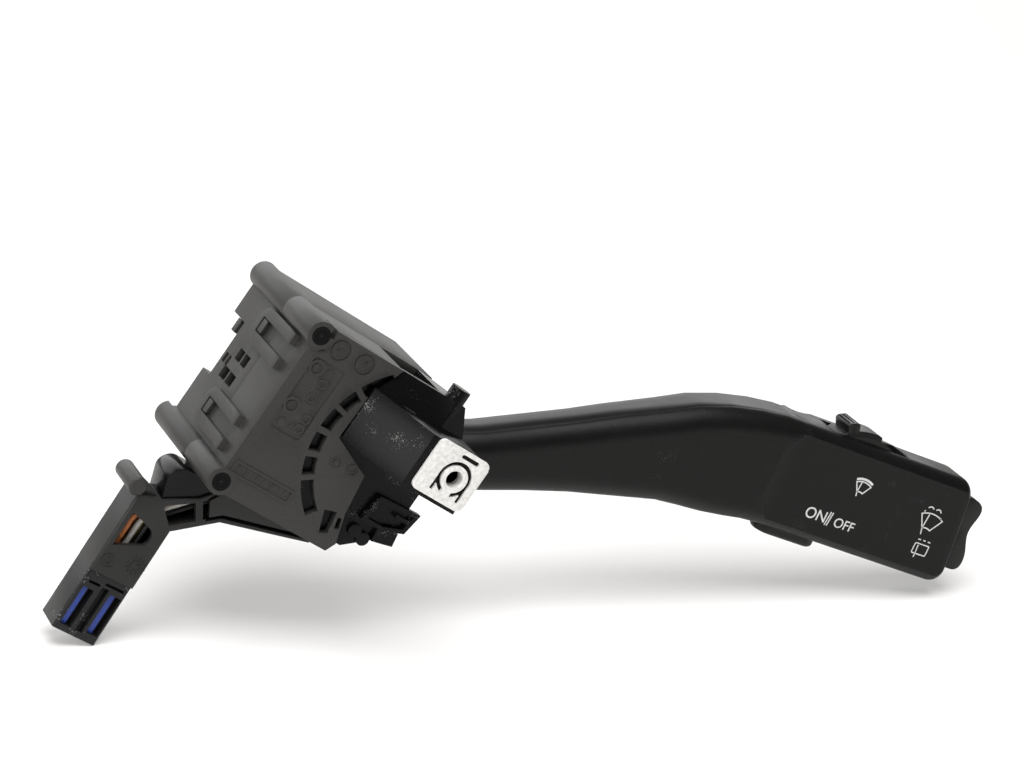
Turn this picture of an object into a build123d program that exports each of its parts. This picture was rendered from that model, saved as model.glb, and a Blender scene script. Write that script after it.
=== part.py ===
"""Wiper-side combination stalk switch: latch-on switch body with a metal spring nut,
a cable duct that ends in a plug, and a cranked lever with thumb wheel, tip rocker
and reset button.

Datum: the centre of the seat face that latches onto the column carrier.  Three sets
of datum planes are used.  "side", "seat" and "deck" follow the switch body, "neck"
follows the lever's neck from its pivot and "head" follows the lever's head.
The body stands leaning by LEAN, the way the switch rests on its plug and lever tip.
"""

from build123d import *
from math import cos, radians, sin, tan
import os

os.makedirs("parts", exist_ok=True)

# ---------------------------------------------------------------- driving dimensions
LEAN = 30.0            # lean of the body's axes in the resting pose
CLEAR = 0.3            # gap between pieces that move past each other
FIT = 0.05             # radial running clearance of shafts in bores

# switch body
BODY_W = 42.0          # depth of the body, driver's side to far side
BODY_H = 46.0          # height of the seat face
BODY_L = 42.0          # length of the rear shell along the stalk direction
PLATE_L = BODY_L - 6.0  # length of the front plate
WALL = 2.2             # wall of the body shells
SEAM_Y = -4.0          # joint plane between front and rear shell
RAIL_R = 3.4           # radius of the rounded rails at the seat's top and bottom
RAIL_BULGE = 2.5       # how far the rails stand out of the seat face
RAIL_TOP_Z = 20.2      # height of the top rail's axis
RAIL_LOW_Z = -20.6     # height of the bottom rail's axis
SHELL_PLAY = 0.2       # play of inner pieces in the body shells
CARRIER_L = 48.0       # reach of the carrier's cheeks along the stalk direction
BOARD_ROOM = 4.8       # room for the contact board behind the carrier
CHEEK_IN = 10.6        # half width of the swing pocket between the cheeks

# lever pivot and travel
PIVOT_X, PIVOT_Z = 37.5, -3.8
NECK_ANGLE = 30.5      # climb of the lever's neck
HEAD_ANGLE = 10.9      # climb of the lever's head
SWING_UP, SWING_DOWN = 15.0, 5.0

# lever
ROOT_REACH = 13.5      # distance from the pivot to the start of the lever's shells
NECK_H, NECK_W = 17.0, 15.0
KNEE_H, KNEE_W = 28.0, 17.5
HEAD_H, HEAD_W = 29.0, 18.0
HEAD_LOW = 7.0         # lower edge of the head in head coordinates
HEAD_START, HEAD_END = 147.5, 202.6
END_RAKE = 8.0         # rake of the tip's end face
LEVER_WALL = 1.8
LEVER_EDGE = 5.0       # rounding of the head's long edges
NECK_EDGE = 6.4        # rounding of the neck's long edges
TIP_EDGE = 3.4         # rounding of the tip's end face
LEVER_SEAM_Y = -4.6    # joint plane between the lever's two shells

# yoke, root and detent
YOKE_L = 13.0
YOKE_W, YOKE_H = 19.2, 18.4
YOKE_WALL = 2.6
TRUNNION_R = 3.0
TRUNNION_END = 15.0
TILT_PIN_R = 1.95
ROOT_W, ROOT_H = 8.4, 10.6
ROOT_BACK = 12.0       # reach of the lever root behind the pivot
PLUNGER_R = 3.0
PLUNGER_TIP = 17.0     # distance of the plunger's nose from the pivot
CAM_R = 17.4           # radius of the detent crests about the pivot
CAM_T = 3.4
NOTCH_R = 1.5
STEP_ANGLE = 5.0       # angle between two wiper stages
DRIVE_R = 14.0         # distance of the slider's drive pin from the pivot
DRIVE_PIN_R = 1.5

# tower and spring nut
TOWER_TOP = -37.0      # clip face of the tower
TOWER_Z0, TOWER_Z1 = 2.2, 17.2
NUT_X, NUT_Z = 42.0, 9.6
NUT_R = 2.1            # thread's inner radius in the spring nut
NUT_T = 0.8            # sheet of the spring nut
COLLAR_L = 2.4         # drawn collar under the nut's hole

# cable duct and plug
ARM_Y0, ARM_Y1 = -10.0, 0.0
ARM_LEAN = 1.5         # lean of the duct's hanging arm
ARM_X, ARM_Z = -2.65, -38.0     # datum point of the arm
ARM_W = 12.4
DUCT_WALL = 1.4
FOOT_T = 1.4           # foot plate of the duct on the body's floor
GROOVE_DEPTH = 2.6
PLUG_L, PLUG_W = 16.4, 12.0
PLUG_SHIFT = -0.2      # plug's middle against the arm's middle
PLUG_TOP = -55.6
WIRE_R = 0.7
WIRE_PITCH_X, WIRE_PITCH_Y = 2.2, 2.6

# lever head controls
WHEEL_S, WHEEL_T = 169.1, HEAD_LOW + HEAD_H - 13.8
WHEEL_R, WHEEL_W = 15.5, 8.0
NUB_ANGLE = 113.0
AXLE_R = 1.5
SLOT_S0, SLOT_S1 = 156.8, 181.6
BUTTON_S0, BUTTON_S1 = 149.0, 168.0
BUTTON_W = 7.8
BUTTON_DROP = 2.5      # how far the reset button stands out of the head
BUTTON_PRESS = 0.8
ROCKER_S, ROCKER_T = 203.0, HEAD_LOW + HEAD_H / 2 + 0.5
ROCKER_W = 11.6
ROCKER_TILT = 4.0
BOARD_T = 1.4

# ---------------------------------------------------------------- datum planes


def direction(angle):
    """Unit vector in the body's upright plane, angle measured from the stalk axis."""
    turned = radians(angle - LEAN)
    return Vector(cos(turned), 0, sin(turned))


def point(x, y, z):
    """A point given in body axes."""
    return direction(0) * x + Vector(0, y, 0) + direction(90) * z


def side(y):
    """Upright plane seen from the driver: x along the stalk, y up, facing the driver."""
    return Plane(origin=point(0, y, 0), x_dir=direction(0), z_dir=(0, -1, 0))


def seat(x):
    """Plane parallel to the seat face: x away from the driver, y up."""
    return Plane(origin=point(x, 0, 0), x_dir=(0, 1, 0), z_dir=direction(0))


def deck(z):
    """Plane parallel to the body's top: x along the stalk, y away from the driver."""
    return Plane(origin=point(0, 0, z), x_dir=direction(0), z_dir=direction(90))


def neck(y):
    """Upright plane at the pivot with x along the lever's neck."""
    return Plane(origin=point(PIVOT_X, y, PIVOT_Z), x_dir=direction(NECK_ANGLE), z_dir=(0, -1, 0))


def neck_cut(reach):
    """Plane square to the neck at a distance from the pivot: x away from the driver."""
    start = point(PIVOT_X, 0, PIVOT_Z) + direction(NECK_ANGLE) * reach
    return Plane(origin=start, x_dir=(0, 1, 0), z_dir=direction(NECK_ANGLE))


def tilt_level(height):
    """Plane square to the tilt pin at a height over the pivot: x away from the driver."""
    start = point(PIVOT_X, 0, PIVOT_Z) + direction(NECK_ANGLE + 90) * height
    return Plane(origin=start, x_dir=(0, 1, 0), z_dir=direction(NECK_ANGLE + 90))


def head(y):
    """Upright plane of the lever's head: x along the head, y square to it."""
    return Plane(origin=(0, y, 0), x_dir=direction(HEAD_ANGLE), z_dir=(0, -1, 0))


def head_cut(reach):
    """Plane square to the head at a distance along it: x away from the driver."""
    return Plane(origin=direction(HEAD_ANGLE) * reach, x_dir=(0, 1, 0), z_dir=direction(HEAD_ANGLE))


def head_level(height):
    """Plane along the head at a height square to it: x along the head, y far side."""
    start = direction(HEAD_ANGLE + 90) * height
    return Plane(origin=start, x_dir=direction(HEAD_ANGLE), z_dir=direction(HEAD_ANGLE + 90))


HEAD_AXIS = Axis((0, 0, 0), direction(HEAD_ANGLE))

# ---------------------------------------------------------------- shared body outlines
HALF_W = BODY_W / 2
CARRIER_BACK = HALF_W - BOARD_ROOM
HALF_H = BODY_H / 2
FRONT_Y = -HALF_W
INNER_Z = HALF_H - WALL
WINDOW_X, WINDOW_Z = 39.5, 2.3      # centre of the arc of windows
WINDOW_R, WINDOW_BAND = 25.3, 3.2
WINDOW_SPANS = ((132, 151), (154.5, 165.5), (168.5, 180.5), (184, 195), (198.5, 209.5), (212.5, 234))
PLATE_EDGE = (
    (0, -HALF_H), (0, HALF_H), (24.2, HALF_H), (20.4, 14.0),
    (20.0, TOWER_Z0 - 0.3), (31.5, -3.0), (33.0, -13.0), (PLATE_L - 0.5, -HALF_H + 2.6),
    (PLATE_L - 1.8, -HALF_H),
)


def rail_ends(y):
    """Sections of the two rounded bars beside the seat, at one depth."""
    with BuildSketch(side(y)) as ends:
        with Locations((RAIL_R - RAIL_BULGE, RAIL_TOP_Z), (RAIL_R - RAIL_BULGE, RAIL_LOW_Z)):
            Circle(RAIL_R)
    return ends.sketch


# ---------------------------------------------------------------- front shell
BAIL_W, BAIL_SLOT = 9.6, 4.0
BAIL_T = 1.3
BAIL_Y0, BAIL_Y1 = -15.0, 6.5
BAIL_ZS = (12.0, -10.8)
PANEL_DEPTH = 0.35
RAIL_SKIN, RAIL_HOLLOW = 1.2, 1.6

with BuildPart() as front_shell:
    with BuildSketch(side(SEAM_Y)):
        Polygon(*PLATE_EDGE, align=None)
    extrude(amount=HALF_W + SEAM_Y)
    extrude(rail_ends(SEAM_Y), amount=HALF_W + SEAM_Y + 0.6)
    # the hollow behind the plate, open to the rear shell and to the lever side
    with BuildSketch(side(SEAM_Y)):
        with Locations((WALL, 0)):
            Rectangle(PLATE_L, 2 * INNER_Z, align=(Align.MIN, Align.CENTER))
    extrude(amount=HALF_W + SEAM_Y - WALL, mode=Mode.SUBTRACT)
    # arc of windows with thin ribs between them
    with BuildSketch(side(FRONT_Y)) as windows:
        for start, end in WINDOW_SPANS:
            with BuildLine():
                outer = CenterArc((WINDOW_X, WINDOW_Z), WINDOW_R, start, end - start)
                inner = CenterArc((WINDOW_X, WINDOW_Z), WINDOW_R - WINDOW_BAND, start, end - start)
                Line(outer @ 0, inner @ 0)
                Line(outer @ 1, inner @ 1)
            make_face()
        # wedge and square windows at the lower corner
        Polygon((27.7, -14.5), (31.0, -13.6), (32.1, -19.2), (30.0, -20.0), align=None)
        Polygon((32.0, -14.6), (33.1, -14.4), (33.9, -17.0), (32.7, -17.4), align=None)
    extrude(amount=-WALL - 1, mode=Mode.SUBTRACT)
    # sunk rounded panel with ejector marks
    with BuildSketch(side(FRONT_Y)) as panel:
        with Locations((7.4, 6.0)):
            RectangleRounded(8.9, 19.4, 1.0)
    extrude(amount=-PANEL_DEPTH, mode=Mode.SUBTRACT)
    with BuildSketch(side(FRONT_Y + PANEL_DEPTH)):
        with Locations((5.0, 13.2), (5.0, 2.9)):
            Circle(2.1)
            Circle(1.5, mode=Mode.SUBTRACT)
        with Locations((10.3, 1.6), (10.1, -1.2), (8.6, 10.6), (8.4, 6.6)):
            Circle(1.25)
            Circle(0.85, mode=Mode.SUBTRACT)
        with Locations((5.4, -1.7)):
            Circle(1.1)
    extrude(amount=PANEL_DEPTH)
    # raised frame at the lower edge
    with BuildSketch(side(FRONT_Y)):
        with Locations((9.9, -16.1)):
            Rectangle(17.2, 3.6)
            Rectangle(16.2, 2.6, mode=Mode.SUBTRACT)
    extrude(amount=0.3)
    # two dial marks and a dot near the top edge
    with BuildSketch(side(FRONT_Y)):
        with Locations((7.4, 19.6), (14.6, 19.6)):
            Circle(2.6)
            Circle(2.15, mode=Mode.SUBTRACT)
        with Locations((2.9, 18.0)):
            Circle(0.9)
    extrude(amount=-0.25, mode=Mode.SUBTRACT)
    # snap bails over the rear half of the seat
    with BuildSketch(seat(0)):
        for z in BAIL_ZS:
            with BuildLine():
                top = Line((BAIL_Y0, z + BAIL_W / 2), (BAIL_Y1 - BAIL_W / 2, z + BAIL_W / 2))
                end = ThreePointArc(top @ 1, (BAIL_Y1, z), (BAIL_Y1 - BAIL_W / 2, z - BAIL_W / 2))
                Line(end @ 1, (BAIL_Y0, z - BAIL_W / 2))
                Line((BAIL_Y0, z - BAIL_W / 2), (BAIL_Y0, z + BAIL_W / 2))
            make_face()
        with Locations(*[(BAIL_Y0, z) for z in BAIL_ZS]):
            slot_l = BAIL_Y1 - BAIL_Y0 - (BAIL_W - BAIL_SLOT) / 2
            Rectangle(slot_l, BAIL_SLOT, align=(Align.MIN, Align.CENTER), mode=Mode.SUBTRACT)
    extrude(amount=-BAIL_T)
    # thick square pads at the roots of the bails
    with BuildSketch(seat(0)):
        for z in BAIL_ZS:
            pads = [(BAIL_Y0 - 0.3, z + step * (BAIL_W + BAIL_SLOT) / 4) for step in (-1, 1)]
            with Locations(*pads):
                Rectangle(2.8, (BAIL_W - BAIL_SLOT) / 2, align=(Align.MIN, Align.CENTER))
    extrude(amount=-BAIL_T - 0.4)
    # moulded hollows in the near ends of the rails
    with BuildSketch(side(FRONT_Y)):
        with Locations((RAIL_R - RAIL_BULGE, RAIL_TOP_Z), (RAIL_R - RAIL_BULGE, RAIL_LOW_Z)):
            Circle(RAIL_R - RAIL_SKIN)
    extrude(amount=-RAIL_HOLLOW, mode=Mode.SUBTRACT)
    # notch at the plate's top corner beside the rail
    with BuildSketch(side(FRONT_Y - 1)):
        with Locations((2.6, HALF_H)):
            Rectangle(1.6, 2.2, align=(Align.MIN, Align.MAX))
    extrude(amount=-9, mode=Mode.SUBTRACT)
    # cable outlet in the floor
    with BuildSketch(deck(-HALF_H - 4)):
        with Locations((4.4, ARM_Y0 + DUCT_WALL)):
            Rectangle(9.6, 12, align=(Align.MIN, Align.MIN))
    extrude(amount=8, mode=Mode.SUBTRACT)
front_shell.part.label = "front_shell"
export_step(front_shell.part, "parts/front_shell.step")

# ---------------------------------------------------------------- rear shell
NOTCH_Y, NOTCH_Z0, NOTCH_Z1, NOTCH_L = 13.0, -6.0, 9.0, 5.0
SEAT_WINDOWS = ((3.2, 2.8, 7.2, 3.0), (4.6, -2.9, 8.4, 3.0), (10.0, -0.2, 3.6, 2.5))

with BuildPart() as rear_shell:
    with BuildSketch(side(HALF_W)):
        with BuildLine():
            Polyline((0, -HALF_H), (0, HALF_H), (BODY_L - 1, HALF_H), (BODY_L, HALF_H - 1),
                     (BODY_L, -HALF_H + 8), (BODY_L - 8, -HALF_H), (0, -HALF_H))
        make_face()
    extrude(amount=HALF_W - SEAM_Y)
    extrude(rail_ends(HALF_W), amount=HALF_W - SEAM_Y)
    # hollow, open towards the lever
    with BuildSketch(side(HALF_W - WALL)):
        with Locations((WALL, 0)):
            Rectangle(BODY_L, 2 * INNER_Z, align=(Align.MIN, Align.CENTER))
    extrude(amount=HALF_W - WALL - SEAM_Y, mode=Mode.SUBTRACT)
    # stepped far corner of the seat, where the inner frame shows
    with BuildSketch(seat(-1)):
        with Locations((NOTCH_Y, NOTCH_Z0)):
            Rectangle(HALF_W, NOTCH_Z1 - NOTCH_Z0, align=(Align.MIN, Align.MIN))
        with Locations((17.8, -18.5)):
            Rectangle(HALF_W, 12.6, align=(Align.MIN, Align.MIN))
    extrude(amount=NOTCH_L + 1, mode=Mode.SUBTRACT)
    # test windows in the seat face, two of them with a divider
    with BuildSketch(seat(0)):
        for y, z, wide, high in SEAT_WINDOWS:
            with Locations((y, z)):
                Rectangle(wide, high)
                Rectangle(0.7, high, mode=Mode.SUBTRACT)
    extrude(amount=WALL, mode=Mode.SUBTRACT)
    # latch nubs inside the closed ends of the bails
    with BuildSketch(seat(0)):
        nub_end = BAIL_Y1 - (BAIL_W - BAIL_SLOT) / 2 - CLEAR
        with Locations(*[(nub_end, z) for z in BAIL_ZS]):
            Rectangle(2.6, BAIL_SLOT - 2 * CLEAR, align=(Align.MAX, Align.CENTER))
    extrude(amount=-BAIL_T + 0.2)
    # stiffening ribs on the far face
    with BuildSketch(side(HALF_W)):
        with Locations((BODY_L / 2, 12), (BODY_L / 2, 0), (BODY_L / 2, -12)):
            Rectangle(BODY_L - 10, 1.2)
        with Locations((9, 0), (BODY_L - 9, 0)):
            Rectangle(1.2, 25.2)
    extrude(amount=-0.8)
    # cable outlet in the floor
    with BuildSketch(deck(-HALF_H - 4)):
        with Locations((4.4, SEAM_Y - 1)):
            Rectangle(9.6, ARM_Y1 - DUCT_WALL - SEAM_Y + 1, align=(Align.MIN, Align.MIN))
    extrude(amount=8, mode=Mode.SUBTRACT)
rear_shell.part.label = "rear_shell"
export_step(rear_shell.part, "parts/rear_shell.step")

# ---------------------------------------------------------------- inner frame (carrier)
CARRIER_X0 = WALL + SHELL_PLAY
CARRIER_Z = INNER_Z - SHELL_PLAY
CARRIER_FRONT = FRONT_Y + WALL + SHELL_PLAY
OPEN_X = PIVOT_X + 5.1          # the swing pocket is open above from here on
SWEEP_R = 23.0                  # sweep of the lever root's corners
YOKE_SWEEP = 14.0
POCKET_LOW = -12.5
CAM_BACK = CAM_R + CAM_T
CAM_HALF = 5.0
CAM_SPAN = (192, 232)
POCKET_SPAN = (186, 240)
TOWER_END_X = CARRIER_L - 0.4
PIN_STUB_X, PIN_STUB_Y, PIN_STUB_R = 41.4, -18.0, 2.5


def pivot_disc(y, radius):
    """Disc about the swing axis, at one depth."""
    with BuildSketch(side(y)) as disc:
        with Locations((PIVOT_X, PIVOT_Z)):
            Circle(radius)
    return disc.sketch


def pivot_sector(y, radius_in, radius_out, start, end):
    """Sector about the swing axis, behind the pivot, at one depth."""
    with BuildSketch(side(y)) as blank:
        with BuildLine():
            outer = CenterArc((PIVOT_X, PIVOT_Z), radius_out, start, end - start)
            inner = CenterArc((PIVOT_X, PIVOT_Z), radius_in, start, end - start)
            Line(outer @ 0, inner @ 0)
            Line(outer @ 1, inner @ 1)
        make_face()
    return blank.sketch


SLIDER_U, SLIDER_N = 8.0, 7.0       # contact slider along and across the neck
SLIDER_TRAVEL_DOWN = DRIVE_R * radians(SWING_UP)
SLIDER_TRAVEL_UP = DRIVE_R * radians(SWING_DOWN)
BRACKET = ((37.6, -12.4), (38.6, -5.2), (50.6, -4.6), (49.6, -10.4), (44.0, -12.4))

with BuildPart() as carrier:
    with BuildSketch(side(CARRIER_BACK)):
        Polygon((CARRIER_X0, -CARRIER_Z), (CARRIER_X0, CARRIER_Z), (OPEN_X, CARRIER_Z),
                (CARRIER_L, CARRIER_Z - 4.5), (CARRIER_L, -13), (CARRIER_L - 10, -CARRIER_Z),
                align=None)
    extrude(amount=CARRIER_BACK - CARRIER_FRONT)
    # cheek beside the front plate comes forward to the plate's face
    with BuildSketch(side(CARRIER_FRONT)):
        Polygon((24.6, HALF_H), (20.9, 14.2), (20.9, TOWER_Z0), (CARRIER_L, TOWER_Z0),
                (CARRIER_L, 16.4), (43.8, HALF_H), align=None)
    extrude(amount=CARRIER_FRONT - FRONT_Y - 0.6)
    # top lid over the front cheek
    with BuildSketch(deck(CARRIER_Z - 0.2)):
        Polygon((24.6, FRONT_Y + 0.6), (43.6, FRONT_Y + 0.6), (43.6, CHEEK_IN * -1),
                (PLATE_L + 1.2, SEAM_Y - 0.2), (PLATE_L + 0.4, SEAM_Y - 0.2),
                (PLATE_L + 0.4, CARRIER_FRONT), (24.6, CARRIER_FRONT), align=None)
    extrude(amount=HALF_H - CARRIER_Z + 0.2)
    # tower that carries the spring nut, with a sloping flank
    with BuildSketch(deck(TOWER_Z0)):
        Polygon((21.2, CARRIER_FRONT + 2), (20.6, FRONT_Y), (31.4, TOWER_TOP), (TOWER_END_X, TOWER_TOP),
                (TOWER_END_X, CARRIER_FRONT + 2), align=None)
    extrude(amount=TOWER_Z1 - TOWER_Z0 - 1.0)
    # screw clearance in the tower
    with BuildSketch(side(TOWER_TOP)):
        with Locations((NUT_X, NUT_Z)):
            Circle(NUT_R + 1.4)
    extrude(amount=-15, mode=Mode.SUBTRACT)
    # swing pocket: yoke, lever root and the way out to the lever
    extrude(pivot_disc(CHEEK_IN, YOKE_SWEEP), amount=2 * CHEEK_IN, mode=Mode.SUBTRACT)
    with BuildSketch(side(CHEEK_IN)):
        with Locations((PIVOT_X, PIVOT_Z)):
            Circle(SWEEP_R)
        with Locations((PIVOT_X - 2, POCKET_LOW)):
            Rectangle(30, 40, align=(Align.MIN, Align.MIN), mode=Mode.INTERSECT)
        with Locations((OPEN_X, POCKET_LOW)):
            Rectangle(20, 50, align=(Align.MIN, Align.MIN))
    extrude(amount=2 * CHEEK_IN, mode=Mode.SUBTRACT)
    # pocket for the detent cam, the plunger and the drive arm
    extrude(pivot_sector(CAM_HALF, 8, CAM_BACK, *CAM_SPAN), amount=2 * CAM_HALF, mode=Mode.SUBTRACT)
    extrude(pivot_sector(CHEEK_IN, 8, DRIVE_R + 4.6, *POCKET_SPAN), amount=2 * CHEEK_IN,
            mode=Mode.SUBTRACT)
    # trunnion bores, the near one blind
    trunnion_bore = CARRIER_BACK + TRUNNION_END + CLEAR
    extrude(pivot_disc(CARRIER_BACK, TRUNNION_R + FIT), amount=trunnion_bore, mode=Mode.SUBTRACT)
    # track of the contact slider in the far cheek
    with BuildSketch(neck(CARRIER_BACK)):
        low = -SLIDER_N / 2 - SLIDER_TRAVEL_DOWN - CLEAR
        with Locations((-DRIVE_R, low)):
            Rectangle(SLIDER_U + 2 * CLEAR, SLIDER_N + SLIDER_TRAVEL_DOWN + SLIDER_TRAVEL_UP + 2 * CLEAR,
                      align=(Align.CENTER, Align.MIN))
    extrude(amount=CARRIER_BACK - CHEEK_IN, mode=Mode.SUBTRACT)
    # round guide stub beside the clip
    with BuildSketch(deck(CARRIER_Z - 5)):
        with Locations((PIN_STUB_X, PIN_STUB_Y)):
            Circle(PIN_STUB_R)
    extrude(amount=10.6)
    # bracket, stop block and bumps under the tower
    with BuildSketch(side(CARRIER_FRONT)):
        Polygon(*BRACKET, align=None)
        offset(amount=-1.1, mode=Mode.SUBTRACT)
        with Locations((47.2, -7.6)):
            Rectangle(4.6, 1.0)
    extrude(amount=2.0)
    with BuildSketch(side(CARRIER_FRONT)):
        Polygon((43.6, -15.8), (43.2, -12.4), (48.6, -11.2), (49.2, -14.6), align=None)
        with Locations((38.4, -15.6), (41.4, -16.4)):
            Circle(1.7)
    extrude(amount=1.4)
    # room for the terminal block over the cable outlet
    with BuildSketch(deck(-HALF_H)):
        with Locations((CARRIER_X0 - 1, ARM_Y0 - 2)):
            Rectangle(15, 14, align=(Align.MIN, Align.MIN))
    extrude(amount=12, mode=Mode.SUBTRACT)
carrier.part.label = "carrier"
export_step(carrier.part, "parts/carrier.step")

# ---------------------------------------------------------------- spring nut on the tower
NUT_W, NUT_H = 15.0, 13.6
NUT_FACE = TOWER_TOP - NUT_T - 0.05

with BuildPart() as spring_nut:
    with BuildSketch(side(TOWER_TOP - 0.05)):
        with Locations((NUT_X - 1.3, NUT_Z + 0.4)):
            RectangleRounded(NUT_W, NUT_H, 1.6)
    extrude(amount=NUT_T)
    # drawn collar that carries the thread
    with BuildSketch(side(TOWER_TOP + COLLAR_L)):
        with Locations((NUT_X, NUT_Z)):
            Circle(NUT_R + 0.6)
    extrude(amount=COLLAR_L + NUT_T / 2)
    with BuildSketch(side(TOWER_TOP + COLLAR_L)):
        with Locations((NUT_X, NUT_Z)):
            Circle(NUT_R)
    extrude(amount=COLLAR_L + 2, mode=Mode.SUBTRACT)
    # the spring tongue's slot runs round the hole and opens downwards
    with BuildSketch(side(NUT_FACE)):
        with Locations((NUT_X, NUT_Z)):
            Circle(NUT_R + 2.3)
            Circle(NUT_R + 1.3, mode=Mode.SUBTRACT)
            Rectangle(2.6, 8, align=(Align.CENTER, Align.MAX), mode=Mode.SUBTRACT)
        with Locations((NUT_X - NUT_R - 1.8, NUT_Z), (NUT_X + NUT_R + 1.8, NUT_Z)):
            Rectangle(1.0, 4.6, align=(Align.CENTER, Align.MAX))
        with Locations((NUT_X + 0.8, NUT_Z + 5.7)):
            SlotOverall(5.2, 1.0)
    extrude(amount=-NUT_T, mode=Mode.SUBTRACT)
    # arm of the clip folded along the tower's lever side
    with BuildSketch(side(TOWER_TOP + 8)):
        with Locations((TOWER_END_X + 0.02, NUT_Z + 0.4)):
            Rectangle(NUT_T, NUT_H - 3.2, align=(Align.MIN, Align.CENTER))
    extrude(amount=8 + NUT_T)
    with BuildSketch(side(TOWER_TOP)):
        with Locations((TOWER_END_X + 0.02 + NUT_T, NUT_Z + 0.4)):
            Rectangle(2 * NUT_T, NUT_H - 3.2, align=(Align.MAX, Align.CENTER))
    extrude(amount=NUT_T)
spring_nut.part.label = "spring_nut"
export_step(spring_nut.part, "parts/spring_nut.step")

# ---------------------------------------------------------------- detent cam
REST_BACK = 180 + NECK_ANGLE       # direction of the plunger at rest, body axes
STAGES = (-1, 0, 1, 2, 3)

with BuildPart() as detent_cam:
    extrude(pivot_sector(CAM_HALF - 0.1, CAM_R, CAM_BACK - 0.05, CAM_SPAN[0] + 0.4, CAM_SPAN[1] - 0.4),
            amount=2 * CAM_HALF - 0.2)
    with BuildSketch(side(CAM_HALF)):
        for stage in STAGES:
            angle = radians(REST_BACK + stage * STEP_ANGLE)
            with Locations((PIVOT_X + CAM_R * cos(angle), PIVOT_Z + CAM_R * sin(angle))):
                Circle(NOTCH_R / 2)
    extrude(amount=2 * CAM_HALF, mode=Mode.SUBTRACT)
detent_cam.part.label = "detent_cam"
export_step(detent_cam.part, "parts/detent_cam.step")

# ---------------------------------------------------------------- yoke, tilt pin and lever root
YOKE_IN_W, YOKE_IN_H = YOKE_W - 2 * YOKE_WALL, YOKE_H - 2 * YOKE_WALL
ARM_T, ARM_H = 2.2, 5.0

with BuildPart() as swing_yoke:
    with BuildSketch(neck_cut(-YOKE_L / 2)):
        RectangleRounded(YOKE_W, YOKE_H, 1.5)
        RectangleRounded(YOKE_IN_W, YOKE_IN_H, 1.0, mode=Mode.SUBTRACT)
    extrude(amount=YOKE_L)
    for start in (YOKE_W / 2 - 1, -TRUNNION_END):
        extrude(pivot_disc(start + TRUNNION_END - YOKE_W / 2 + 1, TRUNNION_R),
                amount=TRUNNION_END - YOKE_W / 2 + 1)
    # drive arm and pin that shift the contact slider
    with BuildSketch(neck(YOKE_W / 2)):
        with Locations((-YOKE_L / 2 + 1, 0)):
            Rectangle(DRIVE_R - YOKE_L / 2 + 1, ARM_H, align=(Align.MAX, Align.CENTER))
        with Locations((-DRIVE_R, 0)):
            Circle(ARM_H / 2)
    extrude(amount=ARM_T)
    with BuildSketch(neck(CARRIER_BACK - 2.0)):
        with Locations((-DRIVE_R, 0)):
            Circle(DRIVE_PIN_R)
    extrude(amount=CARRIER_BACK - 2.0 - YOKE_W / 2 + 0.5)
    # holes for the tilt pin
    with BuildSketch(tilt_level(0)):
        Circle(TILT_PIN_R)
    extrude(amount=YOKE_H, both=True, mode=Mode.SUBTRACT)
swing_yoke.part.label = "swing_yoke"
export_step(swing_yoke.part, "parts/swing_yoke.step")

with BuildPart() as tilt_pin:
    with BuildSketch(tilt_level(-YOKE_H / 2)):
        Circle(TILT_PIN_R)
    extrude(amount=YOKE_H)
    chamfer(tilt_pin.edges().filter_by(GeomType.CIRCLE), 0.3)
tilt_pin.part.label = "tilt_pin"
export_step(tilt_pin.part, "parts/tilt_pin.step")

# ---------------------------------------------------------------- detent plunger and spring
PLUNGER_BORE = 7.0
PLUNGER_BACK = 6.2
SPRING_COIL_R, SPRING_WIRE_R = 1.55, 0.28
PLUNGER_HOLLOW = 4.6

with BuildPart() as detent_plunger:
    with BuildSketch(neck(0)):
        with BuildLine():
            Polyline((-PLUNGER_TIP + 1.4, 1.0), (-PLUNGER_TIP + 3.2, PLUNGER_R), (-PLUNGER_BACK, PLUNGER_R),
                     (-PLUNGER_BACK, 0), (-PLUNGER_TIP, 0))
            ThreePointArc((-PLUNGER_TIP, 0), (-PLUNGER_TIP + 0.4, 0.62), (-PLUNGER_TIP + 1.4, 1.0))
        make_face()
    revolve(axis=Axis(point(PIVOT_X, 0, PIVOT_Z), direction(NECK_ANGLE)))
    with BuildSketch(neck_cut(-PLUNGER_BACK)):
        Circle(SPRING_COIL_R + SPRING_WIRE_R + 0.1)
    extrude(amount=-PLUNGER_HOLLOW, mode=Mode.SUBTRACT)
detent_plunger.part.label = "detent_plunger"
export_step(detent_plunger.part, "parts/detent_plunger.step")

SPRING_TURNS = 5
with BuildPart() as detent_spring:
    spring_seat = -PLUNGER_BACK - PLUNGER_HOLLOW + SPRING_WIRE_R + 0.01
    spring_len = PLUNGER_HOLLOW - SPRING_WIRE_R
    with BuildLine() as coil:
        Helix(pitch=spring_len / SPRING_TURNS, height=spring_len, radius=SPRING_COIL_R,
              center=neck_cut(spring_seat).origin, direction=direction(NECK_ANGLE))
    with BuildSketch(Plane(origin=coil.line @ 0, z_dir=coil.line % 0)):
        Circle(SPRING_WIRE_R)
    sweep(path=coil.line, is_frenet=True)
detent_spring.part.label = "detent_spring"
export_step(detent_spring.part, "parts/detent_spring.step")

# ---------------------------------------------------------------- contact board and slider
BOARD_FACE = CARRIER_BACK + 0.02
CONTACT_BOARD_T = 1.6
TRACK_T = 0.15
BOARD_RECT = (CARRIER_X0 + 2.6, -18.6, 33.5, 14.0)


def board_outline(grow, y):
    """Outline of the contact board with one cut corner, at one depth."""
    x0, z0, x1, z1 = BOARD_RECT
    with BuildSketch(side(y)) as outline:
        Polygon((x0 - grow, z0 - grow), (x1 - 4, z0 - grow), (x1 + grow, z0 + 4), (x1 + grow, z1 + grow),
                (x0 - grow, z1 + grow), align=None)
    return outline.sketch


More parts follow.
